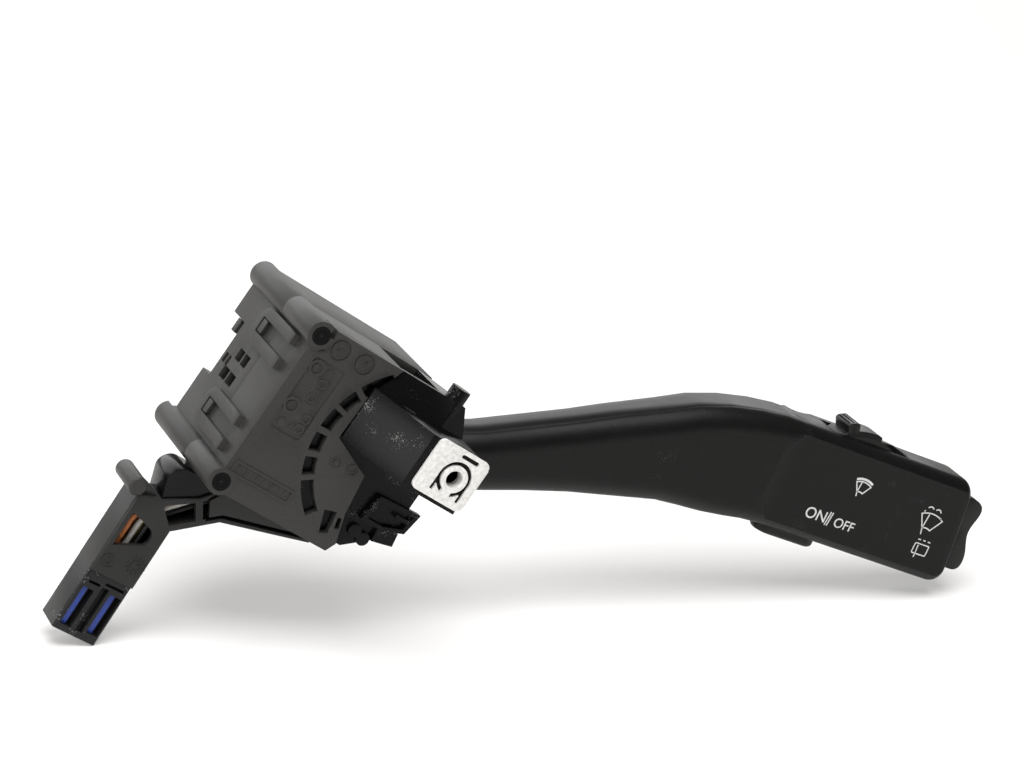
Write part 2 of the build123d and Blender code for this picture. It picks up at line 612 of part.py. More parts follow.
with BuildPart() as contact_board:
    extrude(board_outline(0, BOARD_FACE + CONTACT_BOARD_T), amount=CONTACT_BOARD_T)
contact_board.part.label = "contact_board"
export_step(contact_board.part, "parts/contact_board.step")

with BuildPart() as board_frame:
    extrude(board_outline(1.2, BOARD_FACE + CONTACT_BOARD_T + 0.8), amount=CONTACT_BOARD_T + 0.8)
    extrude(board_outline(0, BOARD_FACE + CONTACT_BOARD_T + 0.8), amount=CONTACT_BOARD_T + 0.8,
            mode=Mode.SUBTRACT)
    # tongue that shows in the seat's open corner
    with BuildSketch(seat(0.8)):
        with Locations((CARRIER_BACK + 0.05, 5.2)):
            Rectangle(2.3, 3.4, align=(Align.MIN, Align.MIN))
    extrude(amount=BOARD_RECT[0] - 1.4)
board_frame.part.label = "board_frame"
export_step(board_frame.part, "parts/board_frame.step")

with BuildPart() as contact_tracks:
    with BuildSketch(neck(BOARD_FACE)):
        track_l = SLIDER_N + SLIDER_TRAVEL_DOWN + SLIDER_TRAVEL_UP - 1
        with Locations((-DRIVE_R, -SLIDER_N / 2 - SLIDER_TRAVEL_DOWN + 0.5)):
            with GridLocations(2.4, 0, 3, 1):
                Rectangle(1.4, track_l, align=(Align.CENTER, Align.MIN))
    extrude(amount=TRACK_T)
contact_tracks.part.label = "contact_tracks"
export_step(contact_tracks.part, "parts/contact_tracks.step")

SLIDER_Y0 = CHEEK_IN + CLEAR
SLIDER_Y1 = CARRIER_BACK - 1.4
with BuildPart() as contact_slider:
    with BuildSketch(neck(SLIDER_Y1)):
        with Locations((-DRIVE_R, 0)):
            RectangleRounded(SLIDER_U, SLIDER_N, 0.8)
            SlotOverall(2 * DRIVE_PIN_R + 2 * CLEAR + 1.4, 2 * DRIVE_PIN_R + 2 * CLEAR, mode=Mode.SUBTRACT)
    extrude(amount=SLIDER_Y1 - SLIDER_Y0)
contact_slider.part.label = "contact_slider"
export_step(contact_slider.part, "parts/contact_slider.step")

with BuildPart() as slider_fingers:
    with BuildSketch(neck_cut(-DRIVE_R)):
        for step in (-1, 1):
            with BuildLine():
                low = step * (SLIDER_N / 2 - 0.4)
                Spline((SLIDER_Y1, low), (SLIDER_Y1 + 0.75, low - step * 0.7),
                       (SLIDER_Y1 + 0.25, low - step * 1.4))
                Spline((SLIDER_Y1 + 0.12, low - step * 1.3), (SLIDER_Y1 + 0.6, low - step * 0.7),
                       (SLIDER_Y1, low - step * 0.2))
                Line((SLIDER_Y1, low), (SLIDER_Y1, low - step * 0.2))
                Line((SLIDER_Y1 + 0.25, low - step * 1.4), (SLIDER_Y1 + 0.12, low - step * 1.3))
            make_face()
    extrude(amount=SLIDER_U / 2 - 0.8, both=True)
slider_fingers.part.label = "slider_fingers"
export_step(slider_fingers.part, "parts/slider_fingers.step")

# ---------------------------------------------------------------- lever shells
KNEE_RADIUS = 90.0
CORNER_S, CORNER_T = 126.95, 21.5      # where the neck's and head's centre lines meet


def lever_section(place, across, height, rise, edge, inset):
    """Rounded section of the lever, raised on its plane and drawn inwards by the inset."""
    with BuildSketch(place) as section:
        with Locations((0, rise)):
            RectangleRounded(across - 2 * inset, height - 2 * inset, edge - inset * 0.7)
    return section.sketch


def knee_place(share):
    """Section plane at a share of the bend from the neck's line to the head's line."""
    corner = head_cut(CORNER_S).origin + direction(HEAD_ANGLE + 90) * CORNER_T
    tangent = KNEE_RADIUS * tan(radians(NECK_ANGLE - HEAD_ANGLE) / 2)
    centre = corner - direction(NECK_ANGLE) * tangent - direction(NECK_ANGLE + 90) * KNEE_RADIUS
    angle = NECK_ANGLE - share * (NECK_ANGLE - HEAD_ANGLE)
    start = centre + direction(angle + 90) * KNEE_RADIUS
    return Plane(origin=start, x_dir=(0, 1, 0), z_dir=direction(angle))


def head_place(reach):
    """Section plane across the head, centred on its height."""
    middle = direction(HEAD_ANGLE) * reach + direction(HEAD_ANGLE + 90) * (HEAD_LOW + HEAD_H / 2)
    return Plane(origin=middle, x_dir=(0, 1, 0), z_dir=direction(HEAD_ANGLE))


def lever_sections(inset):
    """Sections from the root, round the knee, to the start of the straight head."""
    stations = (
        (neck_cut(ROOT_REACH), NECK_W, NECK_H + 0.4, -0.55, NECK_EDGE - 0.4),
        (neck_cut(ROOT_REACH + 18), NECK_W, NECK_H, -0.65, NECK_EDGE),
        (neck_cut(ROOT_REACH + 31), NECK_W + 0.1, NECK_H + 1.5, -0.45, NECK_EDGE),
        (neck_cut(ROOT_REACH + 43), NECK_W + 0.3, NECK_H + 3.2, -0.45, NECK_EDGE),
        (neck_cut(ROOT_REACH + 53), NECK_W + 0.8, NECK_H + 5.4, -0.55, NECK_EDGE),
        (knee_place(0), KNEE_W - 0.9, KNEE_H - 2.9, -0.85, NECK_EDGE - 0.1),
        (knee_place(0.25), KNEE_W - 0.3, KNEE_H - 0.4, -0.95, NECK_EDGE - 0.3),
        (knee_place(0.5), KNEE_W, KNEE_H + 1.2, -1.05, NECK_EDGE - 0.6),
        (knee_place(0.75), KNEE_W + 0.3, KNEE_H + 1.7, -0.75, LEVER_EDGE + 0.5),
        (head_place(HEAD_START - 6), HEAD_W - 0.1, HEAD_H + 0.5, -0.2, LEVER_EDGE + 0.2),
        (head_place(HEAD_START), HEAD_W, HEAD_H, 0, LEVER_EDGE),
    )
    return [lever_section(*station, inset) for station in stations]


def tip_plane(inset):
    """Raked plane of the tip's end face."""
    top = direction(HEAD_ANGLE) * (HEAD_END - inset) + direction(HEAD_ANGLE + 90) * (HEAD_LOW + HEAD_H)
    return Plane(origin=top, x_dir=(0, 1, 0), z_dir=direction(HEAD_ANGLE + END_RAKE))


ROCKER_SLOT_T0, ROCKER_SLOT_T1 = ROCKER_T - 10.8, ROCKER_T + 10.9
BUTTON_SLOT_W = BUTTON_W + 2 * CLEAR
WHEEL_SLOT_W = WHEEL_W + 2 * CLEAR
INLAY_S0, INLAY_S1, INLAY_W, INLAY_T = 143.4, 183.4, 10.6, 1.2
INLAY_Y = 1.5
PANEL_SINK = 0.7       # how deep the flat switch panel lies
PANEL_CREASE = ((144.6, 23.0), (142.3, 13.4), (146.2, 2.4))


def lever_shape(inset):
    """The lever's whole form as one solid, drawn inwards by the inset."""
    with BuildPart(mode=Mode.PRIVATE) as form:
        loft(lever_sections(inset), ruled=True)
        extrude(lever_sections(inset)[-1], amount=HEAD_END + 8 - HEAD_START)
        split(bisect_by=tip_plane(inset), keep=Keep.BOTTOM)
        if inset == 0:
            fillet(form.faces().sort_by(HEAD_AXIS)[-1].edges(), TIP_EDGE)
    return form.part


LEVER_OUTER = lever_shape(0)
LEVER_INNER = lever_shape(LEVER_WALL)


def lever_cuts(y, depth):
    """Openings of the lever's head between two depths: tip rocker and reset button."""
    with BuildPart(mode=Mode.PRIVATE) as cuts:
        with BuildSketch(head(y)):
            with Locations((HEAD_END - 4.6, ROCKER_SLOT_T0)):
                Rectangle(20, ROCKER_SLOT_T1 - ROCKER_SLOT_T0, align=(Align.MIN, Align.MIN))
        extrude(amount=depth)
    return cuts.part


# the root that carries both shells
ROOT_FRONT = 30.0
ROOT_EDGE = 3.0        # rounding of the root's long edges
ROOT_COLLAR_L = 4.0

with BuildPart() as lever_root:
    with BuildSketch(neck_cut(-ROOT_BACK)):
        RectangleRounded(ROOT_W, ROOT_H, ROOT_EDGE)
    extrude(amount=ROOT_BACK + ROOT_FRONT)
    # collar that the lever's shells close on
    extrude(lever_section(neck_cut(ROOT_REACH + LEVER_WALL), NECK_W, NECK_H + 0.3, -0.57, NECK_EDGE - 0.4,
                          LEVER_WALL + 0.1), amount=ROOT_COLLAR_L)
    with BuildSketch(tilt_level(0)):
        Circle(TILT_PIN_R + FIT)
    extrude(amount=ROOT_H, both=True, mode=Mode.SUBTRACT)
    with BuildSketch(neck_cut(-ROOT_BACK)):
        Circle(PLUNGER_R + FIT)
    extrude(amount=PLUNGER_BORE, mode=Mode.SUBTRACT)
lever_root.part.label = "lever_root"
export_step(lever_root.part, "parts/lever_root.step")

with BuildPart() as lever_front_shell:
    add(LEVER_OUTER)
    add(LEVER_INNER, mode=Mode.SUBTRACT)
    # boss for the wheel's axle
    with BuildSketch(head(-HEAD_W / 2 + 1.0)):
        with Locations((WHEEL_S, WHEEL_T)):
            Circle(AXLE_R + 1.6)
    extrude(amount=-(HEAD_W / 2 - 1.0 - WHEEL_W / 2 - CLEAR))
    with BuildSketch(head(-HEAD_W / 2 + 1.8)):
        with Locations((WHEEL_S, WHEEL_T)):
            Circle(AXLE_R)
    extrude(amount=-10, mode=Mode.SUBTRACT)
    # flat switch panel, sunk behind a curved crease
    with BuildSketch(head(-HEAD_W / 2 - 2)):
        with BuildLine():
            crease = ThreePointArc(*[(s, HEAD_LOW + t) for s, t in PANEL_CREASE])
            Polyline(crease @ 1, (148.0, HEAD_LOW - 2), (HEAD_END + 20, HEAD_LOW - 2),
                     (HEAD_END + 20, HEAD_LOW + HEAD_H + 2), (147.2, HEAD_LOW + HEAD_H + 2), crease @ 0)
        make_face()
    extrude(amount=-2 - PANEL_SINK, mode=Mode.SUBTRACT)
    add(lever_cuts(ROCKER_W / 2 + CLEAR, ROCKER_W + 2 * CLEAR), mode=Mode.SUBTRACT)
    split(bisect_by=Plane.XZ.offset(-LEVER_SEAM_Y), keep=Keep.TOP)
lever_front_shell.part.label = "lever_front_shell"
export_step(lever_front_shell.part, "parts/lever_front_shell.step")

HEAD_BOARD_Y = 5.4
POST_SPOTS = ((150.5, 27.0), (190.0, 27.0), (190.0, 14.0))

with BuildPart() as lever_rear_shell:
    add(LEVER_OUTER)
    add(LEVER_INNER, mode=Mode.SUBTRACT)
    # posts for the board and boss for the axle's far end
    with BuildSketch(head(HEAD_W / 2 - 1.0)):
        with Locations(*POST_SPOTS):
            Circle(1.8)
        with Locations((WHEEL_S, WHEEL_T)):
            Circle(AXLE_R + 1.6)
    extrude(amount=HEAD_W / 2 - 1.0 - HEAD_BOARD_Y - BOARD_T)
    with BuildSketch(head(HEAD_W / 2 - 1.4)):
        with Locations((WHEEL_S, WHEEL_T)):
            Circle(AXLE_R)
    extrude(amount=6, mode=Mode.SUBTRACT)
    add(lever_cuts(ROCKER_W / 2 + CLEAR, ROCKER_W + 2 * CLEAR), mode=Mode.SUBTRACT)
    # opening of the reset button in the lower wall
    with BuildSketch(head_level(HEAD_LOW - 1)):
        with Locations(((BUTTON_S0 + BUTTON_S1) / 2, 0)):
            SlotOverall(BUTTON_S1 - BUTTON_S0 + 2 * CLEAR, BUTTON_SLOT_W)
    extrude(amount=LEVER_WALL + 2, mode=Mode.SUBTRACT)
    # recess for the bezel round the wheel, then the wheel's slot through the wall
    with BuildSketch(head_level(HEAD_LOW + HEAD_H - INLAY_T)):
        with Locations(((INLAY_S0 + INLAY_S1) / 2, INLAY_Y)):
            SlotOverall(INLAY_S1 - INLAY_S0, INLAY_W)
    extrude(amount=5, mode=Mode.SUBTRACT)
    with BuildSketch(head_level(HEAD_LOW + HEAD_H - INLAY_T - 3)):
        with Locations((SLOT_S0, 0)):
            Rectangle(SLOT_S1 - SLOT_S0, WHEEL_SLOT_W, align=(Align.MIN, Align.CENTER))
    extrude(amount=6, mode=Mode.SUBTRACT)
    split(bisect_by=Plane.XZ.offset(-LEVER_SEAM_Y), keep=Keep.BOTTOM)
lever_rear_shell.part.label = "lever_rear_shell"
export_step(lever_rear_shell.part, "parts/lever_rear_shell.step")

# ---------------------------------------------------------------- bezel round the wheel
with BuildPart() as wheel_bezel:
    with BuildSketch(head_level(HEAD_LOW + HEAD_H - INLAY_T)):
        with Locations(((INLAY_S0 + INLAY_S1) / 2, INLAY_Y)):
            SlotOverall(INLAY_S1 - INLAY_S0 - 0.1, INLAY_W - 0.1)
        with Locations((SLOT_S0, 0)):
            Rectangle(SLOT_S1 - SLOT_S0, WHEEL_SLOT_W, align=(Align.MIN, Align.CENTER), mode=Mode.SUBTRACT)
    extrude(amount=INLAY_T)
    # shallow thumb relief before the wheel
    with BuildSketch(head(0)):
        with BuildLine():
            ThreePointArc((INLAY_S0 + 3, HEAD_LOW + HEAD_H),
                          ((INLAY_S0 + SLOT_S0) / 2, HEAD_LOW + HEAD_H - 0.5),
                          (SLOT_S0 - 1.6, HEAD_LOW + HEAD_H))
            Line((SLOT_S0 - 1.6, HEAD_LOW + HEAD_H), (INLAY_S0 + 3, HEAD_LOW + HEAD_H))
        make_face()
    extrude(amount=HEAD_W, both=True, mode=Mode.SUBTRACT)
    split(bisect_by=Plane.XZ.offset(-LEVER_SEAM_Y - 0.05), keep=Keep.BOTTOM)
wheel_bezel.part.label = "wheel_bezel"
export_step(wheel_bezel.part, "parts/wheel_bezel.step")

# ---------------------------------------------------------------- interval wheel
HUB_R = 4.2
WEB_T = 2.4
RIM_T = 2.2
NUB_R, NUB_SPAN = WHEEL_R + 3.4, 11.0
RIM_START, RIM_END = 52.0, 164.0


def wheel_sector(y, radius_in, radius_out, start, end):
    """Ring sector about the wheel's axle, at one depth."""
    with BuildSketch(head(y)) as sector:
        with BuildLine():
            outer = CenterArc((WHEEL_S, WHEEL_T), radius_out, start, end - start)
            inner = CenterArc((WHEEL_S, WHEEL_T), radius_in, start, end - start)
            Line(outer @ 0, inner @ 0)
            Line(outer @ 1, inner @ 1)
        make_face()
    return sector.sketch


with BuildPart() as interval_wheel:
    extrude(wheel_sector(WHEEL_W / 2, WHEEL_R - RIM_T, WHEEL_R, RIM_START, RIM_END), amount=WHEEL_W)
    extrude(wheel_sector(WEB_T / 2, HUB_R - 0.8, WHEEL_R - RIM_T + 0.3, RIM_START, RIM_END), amount=WEB_T)
    with BuildSketch(head(WHEEL_W / 2)):
        with Locations((WHEEL_S, WHEEL_T)):
            Circle(HUB_R)
    extrude(amount=WHEEL_W)
    # ribbed thumb nub
    nub_start = NUB_ANGLE - NUB_SPAN / 2
    extrude(wheel_sector(WHEEL_W / 2 - 0.4, WHEEL_R - 0.5, NUB_R, nub_start, nub_start + NUB_SPAN),
            amount=WHEEL_W - 0.8)
    fillet(interval_wheel.edges().filter_by(Axis.Y).group_by(
        lambda edge: round((edge.center() - head(0).origin - direction(HEAD_ANGLE) * WHEEL_S
                            - direction(HEAD_ANGLE + 90) * WHEEL_T).length, 1))[-1], 0.9)
    for step in (-1, 0, 1):
        rib = NUB_ANGLE + step * NUB_SPAN / 3.4
        extrude(wheel_sector(WHEEL_W / 2 - 0.9, NUB_R - 0.35, NUB_R + 0.6, rib - 0.7, rib + 0.7),
                amount=WHEEL_W - 1.8, mode=Mode.SUBTRACT)
    with BuildSketch(head(WHEEL_W / 2)):
        with Locations((WHEEL_S, WHEEL_T)):
            Circle(AXLE_R + FIT)
    extrude(amount=WHEEL_W, mode=Mode.SUBTRACT)
interval_wheel.part.label = "interval_wheel"
export_step(interval_wheel.part, "parts/interval_wheel.step")

with BuildPart() as wheel_axle:
    with BuildSketch(head(HEAD_W / 2 - 1.4)):
        with Locations((WHEEL_S, WHEEL_T)):
            Circle(AXLE_R)
    extrude(amount=HEAD_W - 3.2)
wheel_axle.part.label = "wheel_axle"
export_step(wheel_axle.part, "parts/wheel_axle.step")

with BuildPart() as wheel_brush:
    extrude(wheel_sector(WHEEL_W / 2 + 0.6, 2.4, 4.0, 70, 110), amount=0.6)
    extrude(wheel_sector(WHEEL_W / 2 + 0.85, 3.0, 9.0, 84, 96), amount=0.25)
    extrude(wheel_sector(WHEEL_W / 2 + 1.1, 8.2, 9.0, 84, 96), amount=0.5)
wheel_brush.part.label = "wheel_brush"
export_step(wheel_brush.part, "parts/wheel_brush.step")

# ---------------------------------------------------------------- head board and its switches
TACT_H, TACT_L = 4.4, 3.6
TACT_PIN = 1.1
ROCKER_BACK = HEAD_END - 2.6
ROCKER_REACH = 9.0
ROCKER_SWAY = ROCKER_REACH * sin(radians(ROCKER_TILT))
ROCKER_SWITCH_TS = (ROCKER_T - 7.2, ROCKER_T + 7.2)
BUTTON_TOP = HEAD_LOW + LEVER_WALL + 1.4
TACT_S1 = ROCKER_BACK - ROCKER_SWAY - CLEAR
BUTTON_MID = (BUTTON_S0 + BUTTON_S1) / 2
BOARD_S0, BOARD_S1 = BUTTON_S0 - 1.0, TACT_S1 - TACT_PIN - 0.4
BOARD_T0, BOARD_H = HEAD_LOW + 4.6, HEAD_H - 10.4

with BuildPart() as head_board:
    with BuildSketch(head(HEAD_BOARD_Y + BOARD_T)):
        with Locations((BOARD_S0, BOARD_T0)):
            Rectangle(BOARD_S1 - BOARD_S0, BOARD_H, align=(Align.MIN, Align.MIN))
        with Locations((WHEEL_S, WHEEL_T)):
            Circle(AXLE_R + 0.4, mode=Mode.SUBTRACT)
    extrude(amount=BOARD_T)
head_board.part.label = "head_board"
export_step(head_board.part, "parts/head_board.step")

with BuildPart() as tact_switches:
    with BuildSketch(head(HEAD_BOARD_Y)):
        for t in ROCKER_SWITCH_TS:
            with Locations((TACT_S1 - TACT_PIN, t)):
                Rectangle(TACT_L, 4.4, align=(Align.MAX, Align.CENTER))
        with Locations((BUTTON_MID - 3.0, BUTTON_TOP + BUTTON_PRESS + CLEAR + TACT_PIN)):
            Rectangle(4.4, TACT_L, align=(Align.CENTER, Align.MIN))
    extrude(amount=TACT_H)
    with BuildSketch(head(HEAD_BOARD_Y - TACT_H / 2 + 0.8)):
        for t in ROCKER_SWITCH_TS:
            with Locations((TACT_S1, t)):
                Rectangle(TACT_PIN + 0.2, 1.6, align=(Align.MAX, Align.CENTER))
        with Locations((BUTTON_MID - 3.0, BUTTON_TOP + BUTTON_PRESS + CLEAR)):
            Rectangle(1.6, TACT_PIN + 0.2, align=(Align.CENTER, Align.MIN))
    extrude(amount=1.6)
tact_switches.part.label = "tact_switches"
export_step(tact_switches.part, "parts/tact_switches.step")

# ---------------------------------------------------------------- tip rocker and its pin
ROCKER_PIN_R = 1.0
with BuildPart() as rocker_button:
    with BuildSketch(head(ROCKER_W / 2)):
        with BuildLine():
            back = Line((ROCKER_BACK, ROCKER_T - ROCKER_REACH), (ROCKER_BACK, ROCKER_T + ROCKER_REACH))
            top = Polyline(back @ 1, (ROCKER_BACK + 2.2, ROCKER_T + 9.9),
                           (ROCKER_BACK + 5.2, ROCKER_T + 10.1))
            lobes = Spline(top @ 1, (ROCKER_BACK + 9.2, ROCKER_T + 7.4),
                           (ROCKER_BACK + 8.3, ROCKER_T + 1.4), (ROCKER_BACK + 10.8, ROCKER_T - 5.7),
                           (ROCKER_BACK + 10.6, ROCKER_T - 8.7), (ROCKER_BACK + 7.6, ROCKER_T - 9.9))
            Polyline(lobes @ 1, (ROCKER_BACK + 2.2, ROCKER_T - 9.9), back @ 0)
        make_face()
    extrude(amount=ROCKER_W)
    with BuildSketch(head(ROCKER_W / 2)):
        with Locations((ROCKER_S, ROCKER_T)):
            Circle(ROCKER_PIN_R + FIT)
    extrude(amount=ROCKER_W, mode=Mode.SUBTRACT)
rocker_button.part.label = "rocker_button"
export_step(rocker_button.part, "parts/rocker_button.step")

with BuildPart() as rocker_pin:
    with BuildSketch(head(ROCKER_W / 2 + CLEAR)):
        with Locations((ROCKER_S, ROCKER_T)):
            Circle(ROCKER_PIN_R)
    extrude(amount=ROCKER_W + 2 * CLEAR)
rocker_pin.part.label = "rocker_pin"
export_step(rocker_pin.part, "parts/rocker_pin.step")

# ---------------------------------------------------------------- reset button
with BuildPart() as reset_button:
    with BuildSketch(head_level(HEAD_LOW - BUTTON_DROP)):
        with Locations((BUTTON_MID, 0)):
            SlotOverall(BUTTON_S1 - BUTTON_S0, BUTTON_W)
    extrude(amount=BUTTON_TOP - HEAD_LOW + BUTTON_DROP)
    fillet(reset_button.faces().sort_by(Axis.Z)[0].edges(), 1.2)
    # retaining lip inside the lower wall
    with BuildSketch(head_level(HEAD_LOW + LEVER_WALL + 0.1)):
        with Locations((BUTTON_MID, 0)):
            SlotOverall(BUTTON_S1 - BUTTON_S0 + 1.6, BUTTON_W)
    extrude(amount=BUTTON_TOP - HEAD_LOW - LEVER_WALL - 0.1)
reset_button.part.label = "reset_button"
export_step(reset_button.part, "parts/reset_button.step")

# ---------------------------------------------------------------- cable duct
OUTLET_X0, OUTLET_X1 = 4.4, 14.0
WEDGE_END_X = 36.0
ELBOW = ((3.4, -39.0), (-8.4, -38.2), (-8.6, -34.9), (-3.0, -33.3), (5.0, -28.8), (7.2, -26.4))


def lean_arm(y):
    """Upright plane of the duct's hanging arm, x across it and y up along it."""
    return Plane(origin=point(ARM_X, y, ARM_Z), x_dir=direction(ARM_LEAN), z_dir=(0, -1, 0))


def arm_cut(height):
    """Plane square to the hanging arm: x across it, y away from the driver."""
    start = lean_arm(0).origin + direction(ARM_LEAN + 90) * height
    return Plane(origin=start, x_dir=direction(ARM_LEAN), z_dir=direction(ARM_LEAN + 90))


PLUG_HEIGHT = PLUG_TOP - ARM_Z     # plug's top along the arm
ARM_MID_Y = (ARM_Y0 + ARM_Y1) / 2
ARM_DEPTH = ARM_Y1 - ARM_Y0
INNER_DEPTH = ARM_DEPTH - 2 * DUCT_WALL



def duct_bore():
    """Inside of the duct at the elbow, from the body's floor down to the arm."""
    with BuildPart(mode=Mode.PRIVATE) as bore:
        with BuildSketch(side(ARM_Y1 - DUCT_WALL)):
            Polygon((OUTLET_X0 + 0.4, -HALF_H + 4), (OUTLET_X1 - 0.4, -HALF_H + 4),
                    (OUTLET_X1 - 0.4, -29.4), (3.0, -37.6), (-6.6, -37.0), (-6.6, -36.2), (-2.4, -34.8), (0.6, -32.4),
                    (OUTLET_X0 + 0.4, -26.8), align=None)
        extrude(amount=INNER_DEPTH)
    return bore.part


with BuildPart() as cable_duct:
    # wedge along the body's floor and the elbow
    with BuildSketch(side(ARM_Y1)):
        Polygon((8.4, -HALF_H), (WEDGE_END_X, -HALF_H), (WEDGE_END_X - 0.4, -25.4), (12.7, -31.5), *ELBOW,
                align=None)
    extrude(amount=ARM_DEPTH)
    # hanging arm
    with BuildSketch(arm_cut(3.0)):
        with Locations((0, ARM_MID_Y)):
            RectangleRounded(ARM_W, ARM_DEPTH, 0.8)
    extrude(amount=PLUG_HEIGHT - 3.0)
    add(duct_bore(), mode=Mode.SUBTRACT)
    with BuildSketch(arm_cut(2.0)):
        with Locations((0, ARM_MID_Y)):
            Rectangle(ARM_W - 2 * DUCT_WALL, INNER_DEPTH)
    extrude(amount=PLUG_HEIGHT - 2.0 - 1, mode=Mode.SUBTRACT)
    # light pocket in the wedge, open to the far side
    with BuildSketch(side(ARM_Y1)):
        Polygon((OUTLET_X1 + 1.2, -HALF_H - 1.2), (WEDGE_END_X - 3.4, -HALF_H - 1.2),
                (OUTLET_X1 + 1.2, -28.4), align=None)
    extrude(amount=ARM_DEPTH - 3.6, mode=Mode.SUBTRACT)
    # groove round the wedge's panel
    with BuildSketch(side(ARM_Y0)):
        Polygon((6.0, -29.1), (7.4, -28.0), (9.9, -32.0), (8.7, -32.9), align=None)
        Polygon((7.4, -26.6), (8.7, -24.6), (9.8, -24.6), (7.4, -28.2), (6.7, -28.2), align=None)
        Polygon((9.4, -31.9), (12.4, -29.6), (32.6, -24.5), (33.6, -25.3), (12.6, -30.5), (9.4, -33.0),
                align=None)
    extrude(amount=-GROOVE_DEPTH, mode=Mode.SUBTRACT)
    # windows in the near wall: one on the elbow and one above the plug
    with BuildSketch(side(ARM_Y0)):
        Polygon((-1.8, -34.5), (4.7, -30.2), (7.4, -34.0), (2.2, -38.0), align=None)
    extrude(amount=-DUCT_WALL, mode=Mode.SUBTRACT)
    with BuildSketch(lean_arm(ARM_Y0)):
        with BuildLine():
            edge = Polyline((2.0, -7.2), (-4.7, -10.2), (-4.7, -1.2), (-2.0, -1.8), (1.6, -3.0))
            ThreePointArc(edge @ 1, (2.8, -4.8), edge @ 0)
        make_face()
    extrude(amount=-DUCT_WALL, mode=Mode.SUBTRACT)
    # foot plate that closes the outlet in the body's floor
    with BuildSketch(deck(-HALF_H)):
        with Locations((OUTLET_X0 - 3, ARM_Y0)):
            Rectangle(OUTLET_X1 - OUTLET_X0 + 6, ARM_DEPTH, align=(Align.MIN, Align.MIN))
        with Locations((OUTLET_X0 + 0.4, ARM_Y0 + DUCT_WALL)):
            Rectangle(OUTLET_X1 - OUTLET_X0 - 0.8, INNER_DEPTH, align=(Align.MIN, Align.MIN),
                      mode=Mode.SUBTRACT)
    extrude(amount=-FOOT_T)
    # seat against the body's lower rail
    extrude(rail_ends(ARM_Y1 + 1), amount=ARM_DEPTH + 2, mode=Mode.SUBTRACT)
cable_duct.part.label = "cable_duct"
export_step(cable_duct.part, "parts/cable_duct.step")

# ---------------------------------------------------------------- hood over the elbow
with BuildPart() as duct_hood:
    with BuildSketch(side(ARM_Y1 + 0.4)):
        with BuildLine():
            base = Polyline(ELBOW[3], ELBOW[4], ELBOW[5], (8.1, -HALF_H - FOOT_T), (-1.4, -HALF_H - FOOT_T))
            drum = ThreePointArc(base @ 1, (-3.9, -25.6), (-4.8, -28.4))
            Line(drum @ 1, base @ 0)
        make_face()
    extrude(amount=ARM_DEPTH - 0.2)
    add(duct_bore(), mode=Mode.SUBTRACT)
    extrude(rail_ends(ARM_Y1 + 1), amount=ARM_DEPTH + 2, mode=Mode.SUBTRACT)
duct_hood.part.label = "duct_hood"
export_step(duct_hood.part, "parts/duct_hood.step")

# ---------------------------------------------------------------- latch leaf with its grip bar
LEAF_W = 7.2
GRIP_R, GRIP_L = 2.25, 12.0
GRIP_X, GRIP_Z = -10.5, -33.2
with BuildPart() as latch_leaf:
    with BuildSketch(side(ARM_MID_Y + GRIP_L / 2)):
        with Locations((GRIP_X, GRIP_Z)):
            Circle(GRIP_R)
    extrude(amount=GRIP_L)
    chamfer(latch_leaf.edges().filter_by(GeomType.CIRCLE), 0.4)
    with BuildSketch(side(ARM_MID_Y + LEAF_W / 2)):
        Polygon((GRIP_X + 1.0, GRIP_Z - 1.4), ELBOW[2], (-4.4, -33.7), (-4.4, -33.0), (-7.2, -32.3),
                (GRIP_X + 1.2, GRIP_Z + 1.2), align=None)
    extrude(amount=LEAF_W)
latch_leaf.part.label = "latch_leaf"
export_step(latch_leaf.part, "parts/latch_leaf.step")

# ---------------------------------------------------------------- plug with its lock and terminals
SLOT_SINK = 2.6
LOCK_SLOTS = ((-5.1, -32.4, 3.0, 10.3), (2.0, -31.8, 3.1, 10.6))     # left, foot, width, height
KEY_SLOTS = ((-0.8, -32.5, 1.95, 12.1), (-4.6, -20.7, 3.1, 0.7), (-0.4, -19.7, 5.4, 0.7))


def plug_slots(slots, y, depth, trim=0.0):
    """Upright slots in the plug's near face, between two depths."""
    with BuildPart(mode=Mode.PRIVATE) as cut:
        with BuildSketch(lean_arm(y)):
            for left, foot, wide, high in slots:
                with Locations((left, foot)):
                    Rectangle(wide - trim, high, align=(Align.MIN, Align.MIN))
        extrude(amount=-depth)
    return cut.part


with BuildPart() as plug_housing:
    with BuildSketch(arm_cut(PLUG_HEIGHT)):
        with Locations((PLUG_SHIFT, ARM_MID_Y)):
            RectangleRounded(PLUG_W, ARM_DEPTH - 0.4, 0.7)
    extrude(amount=-PLUG_L)
    # windows for the lock and the key slots
    add(plug_slots(LOCK_SLOTS, ARM_Y0 + 0.2, SLOT_SINK), mode=Mode.SUBTRACT)
    add(plug_slots(KEY_SLOTS, ARM_Y0 + 0.2, SLOT_SINK - 0.8), mode=Mode.SUBTRACT)
    # terminal chambers right through
    with BuildSketch(arm_cut(PLUG_HEIGHT)):
        with Locations((0, ARM_MID_Y + 0.7)):
            with GridLocations(WIRE_PITCH_X, WIRE_PITCH_Y, 3, 2):
                Rectangle(1.7, 1.7)
    extrude(amount=-PLUG_L, mode=Mode.SUBTRACT)
plug_housing.part.label = "plug_housing"
export_step(plug_housing.part, "parts/plug_housing.step")

with BuildPart() as plug_lock:
    add(plug_slots(LOCK_SLOTS, ARM_Y0 + 1.1, SLOT_SINK - 0.9, trim=1.3))
plug_lock.part.label = "plug_lock"
export_step(plug_lock.part, "parts/plug_lock.step")

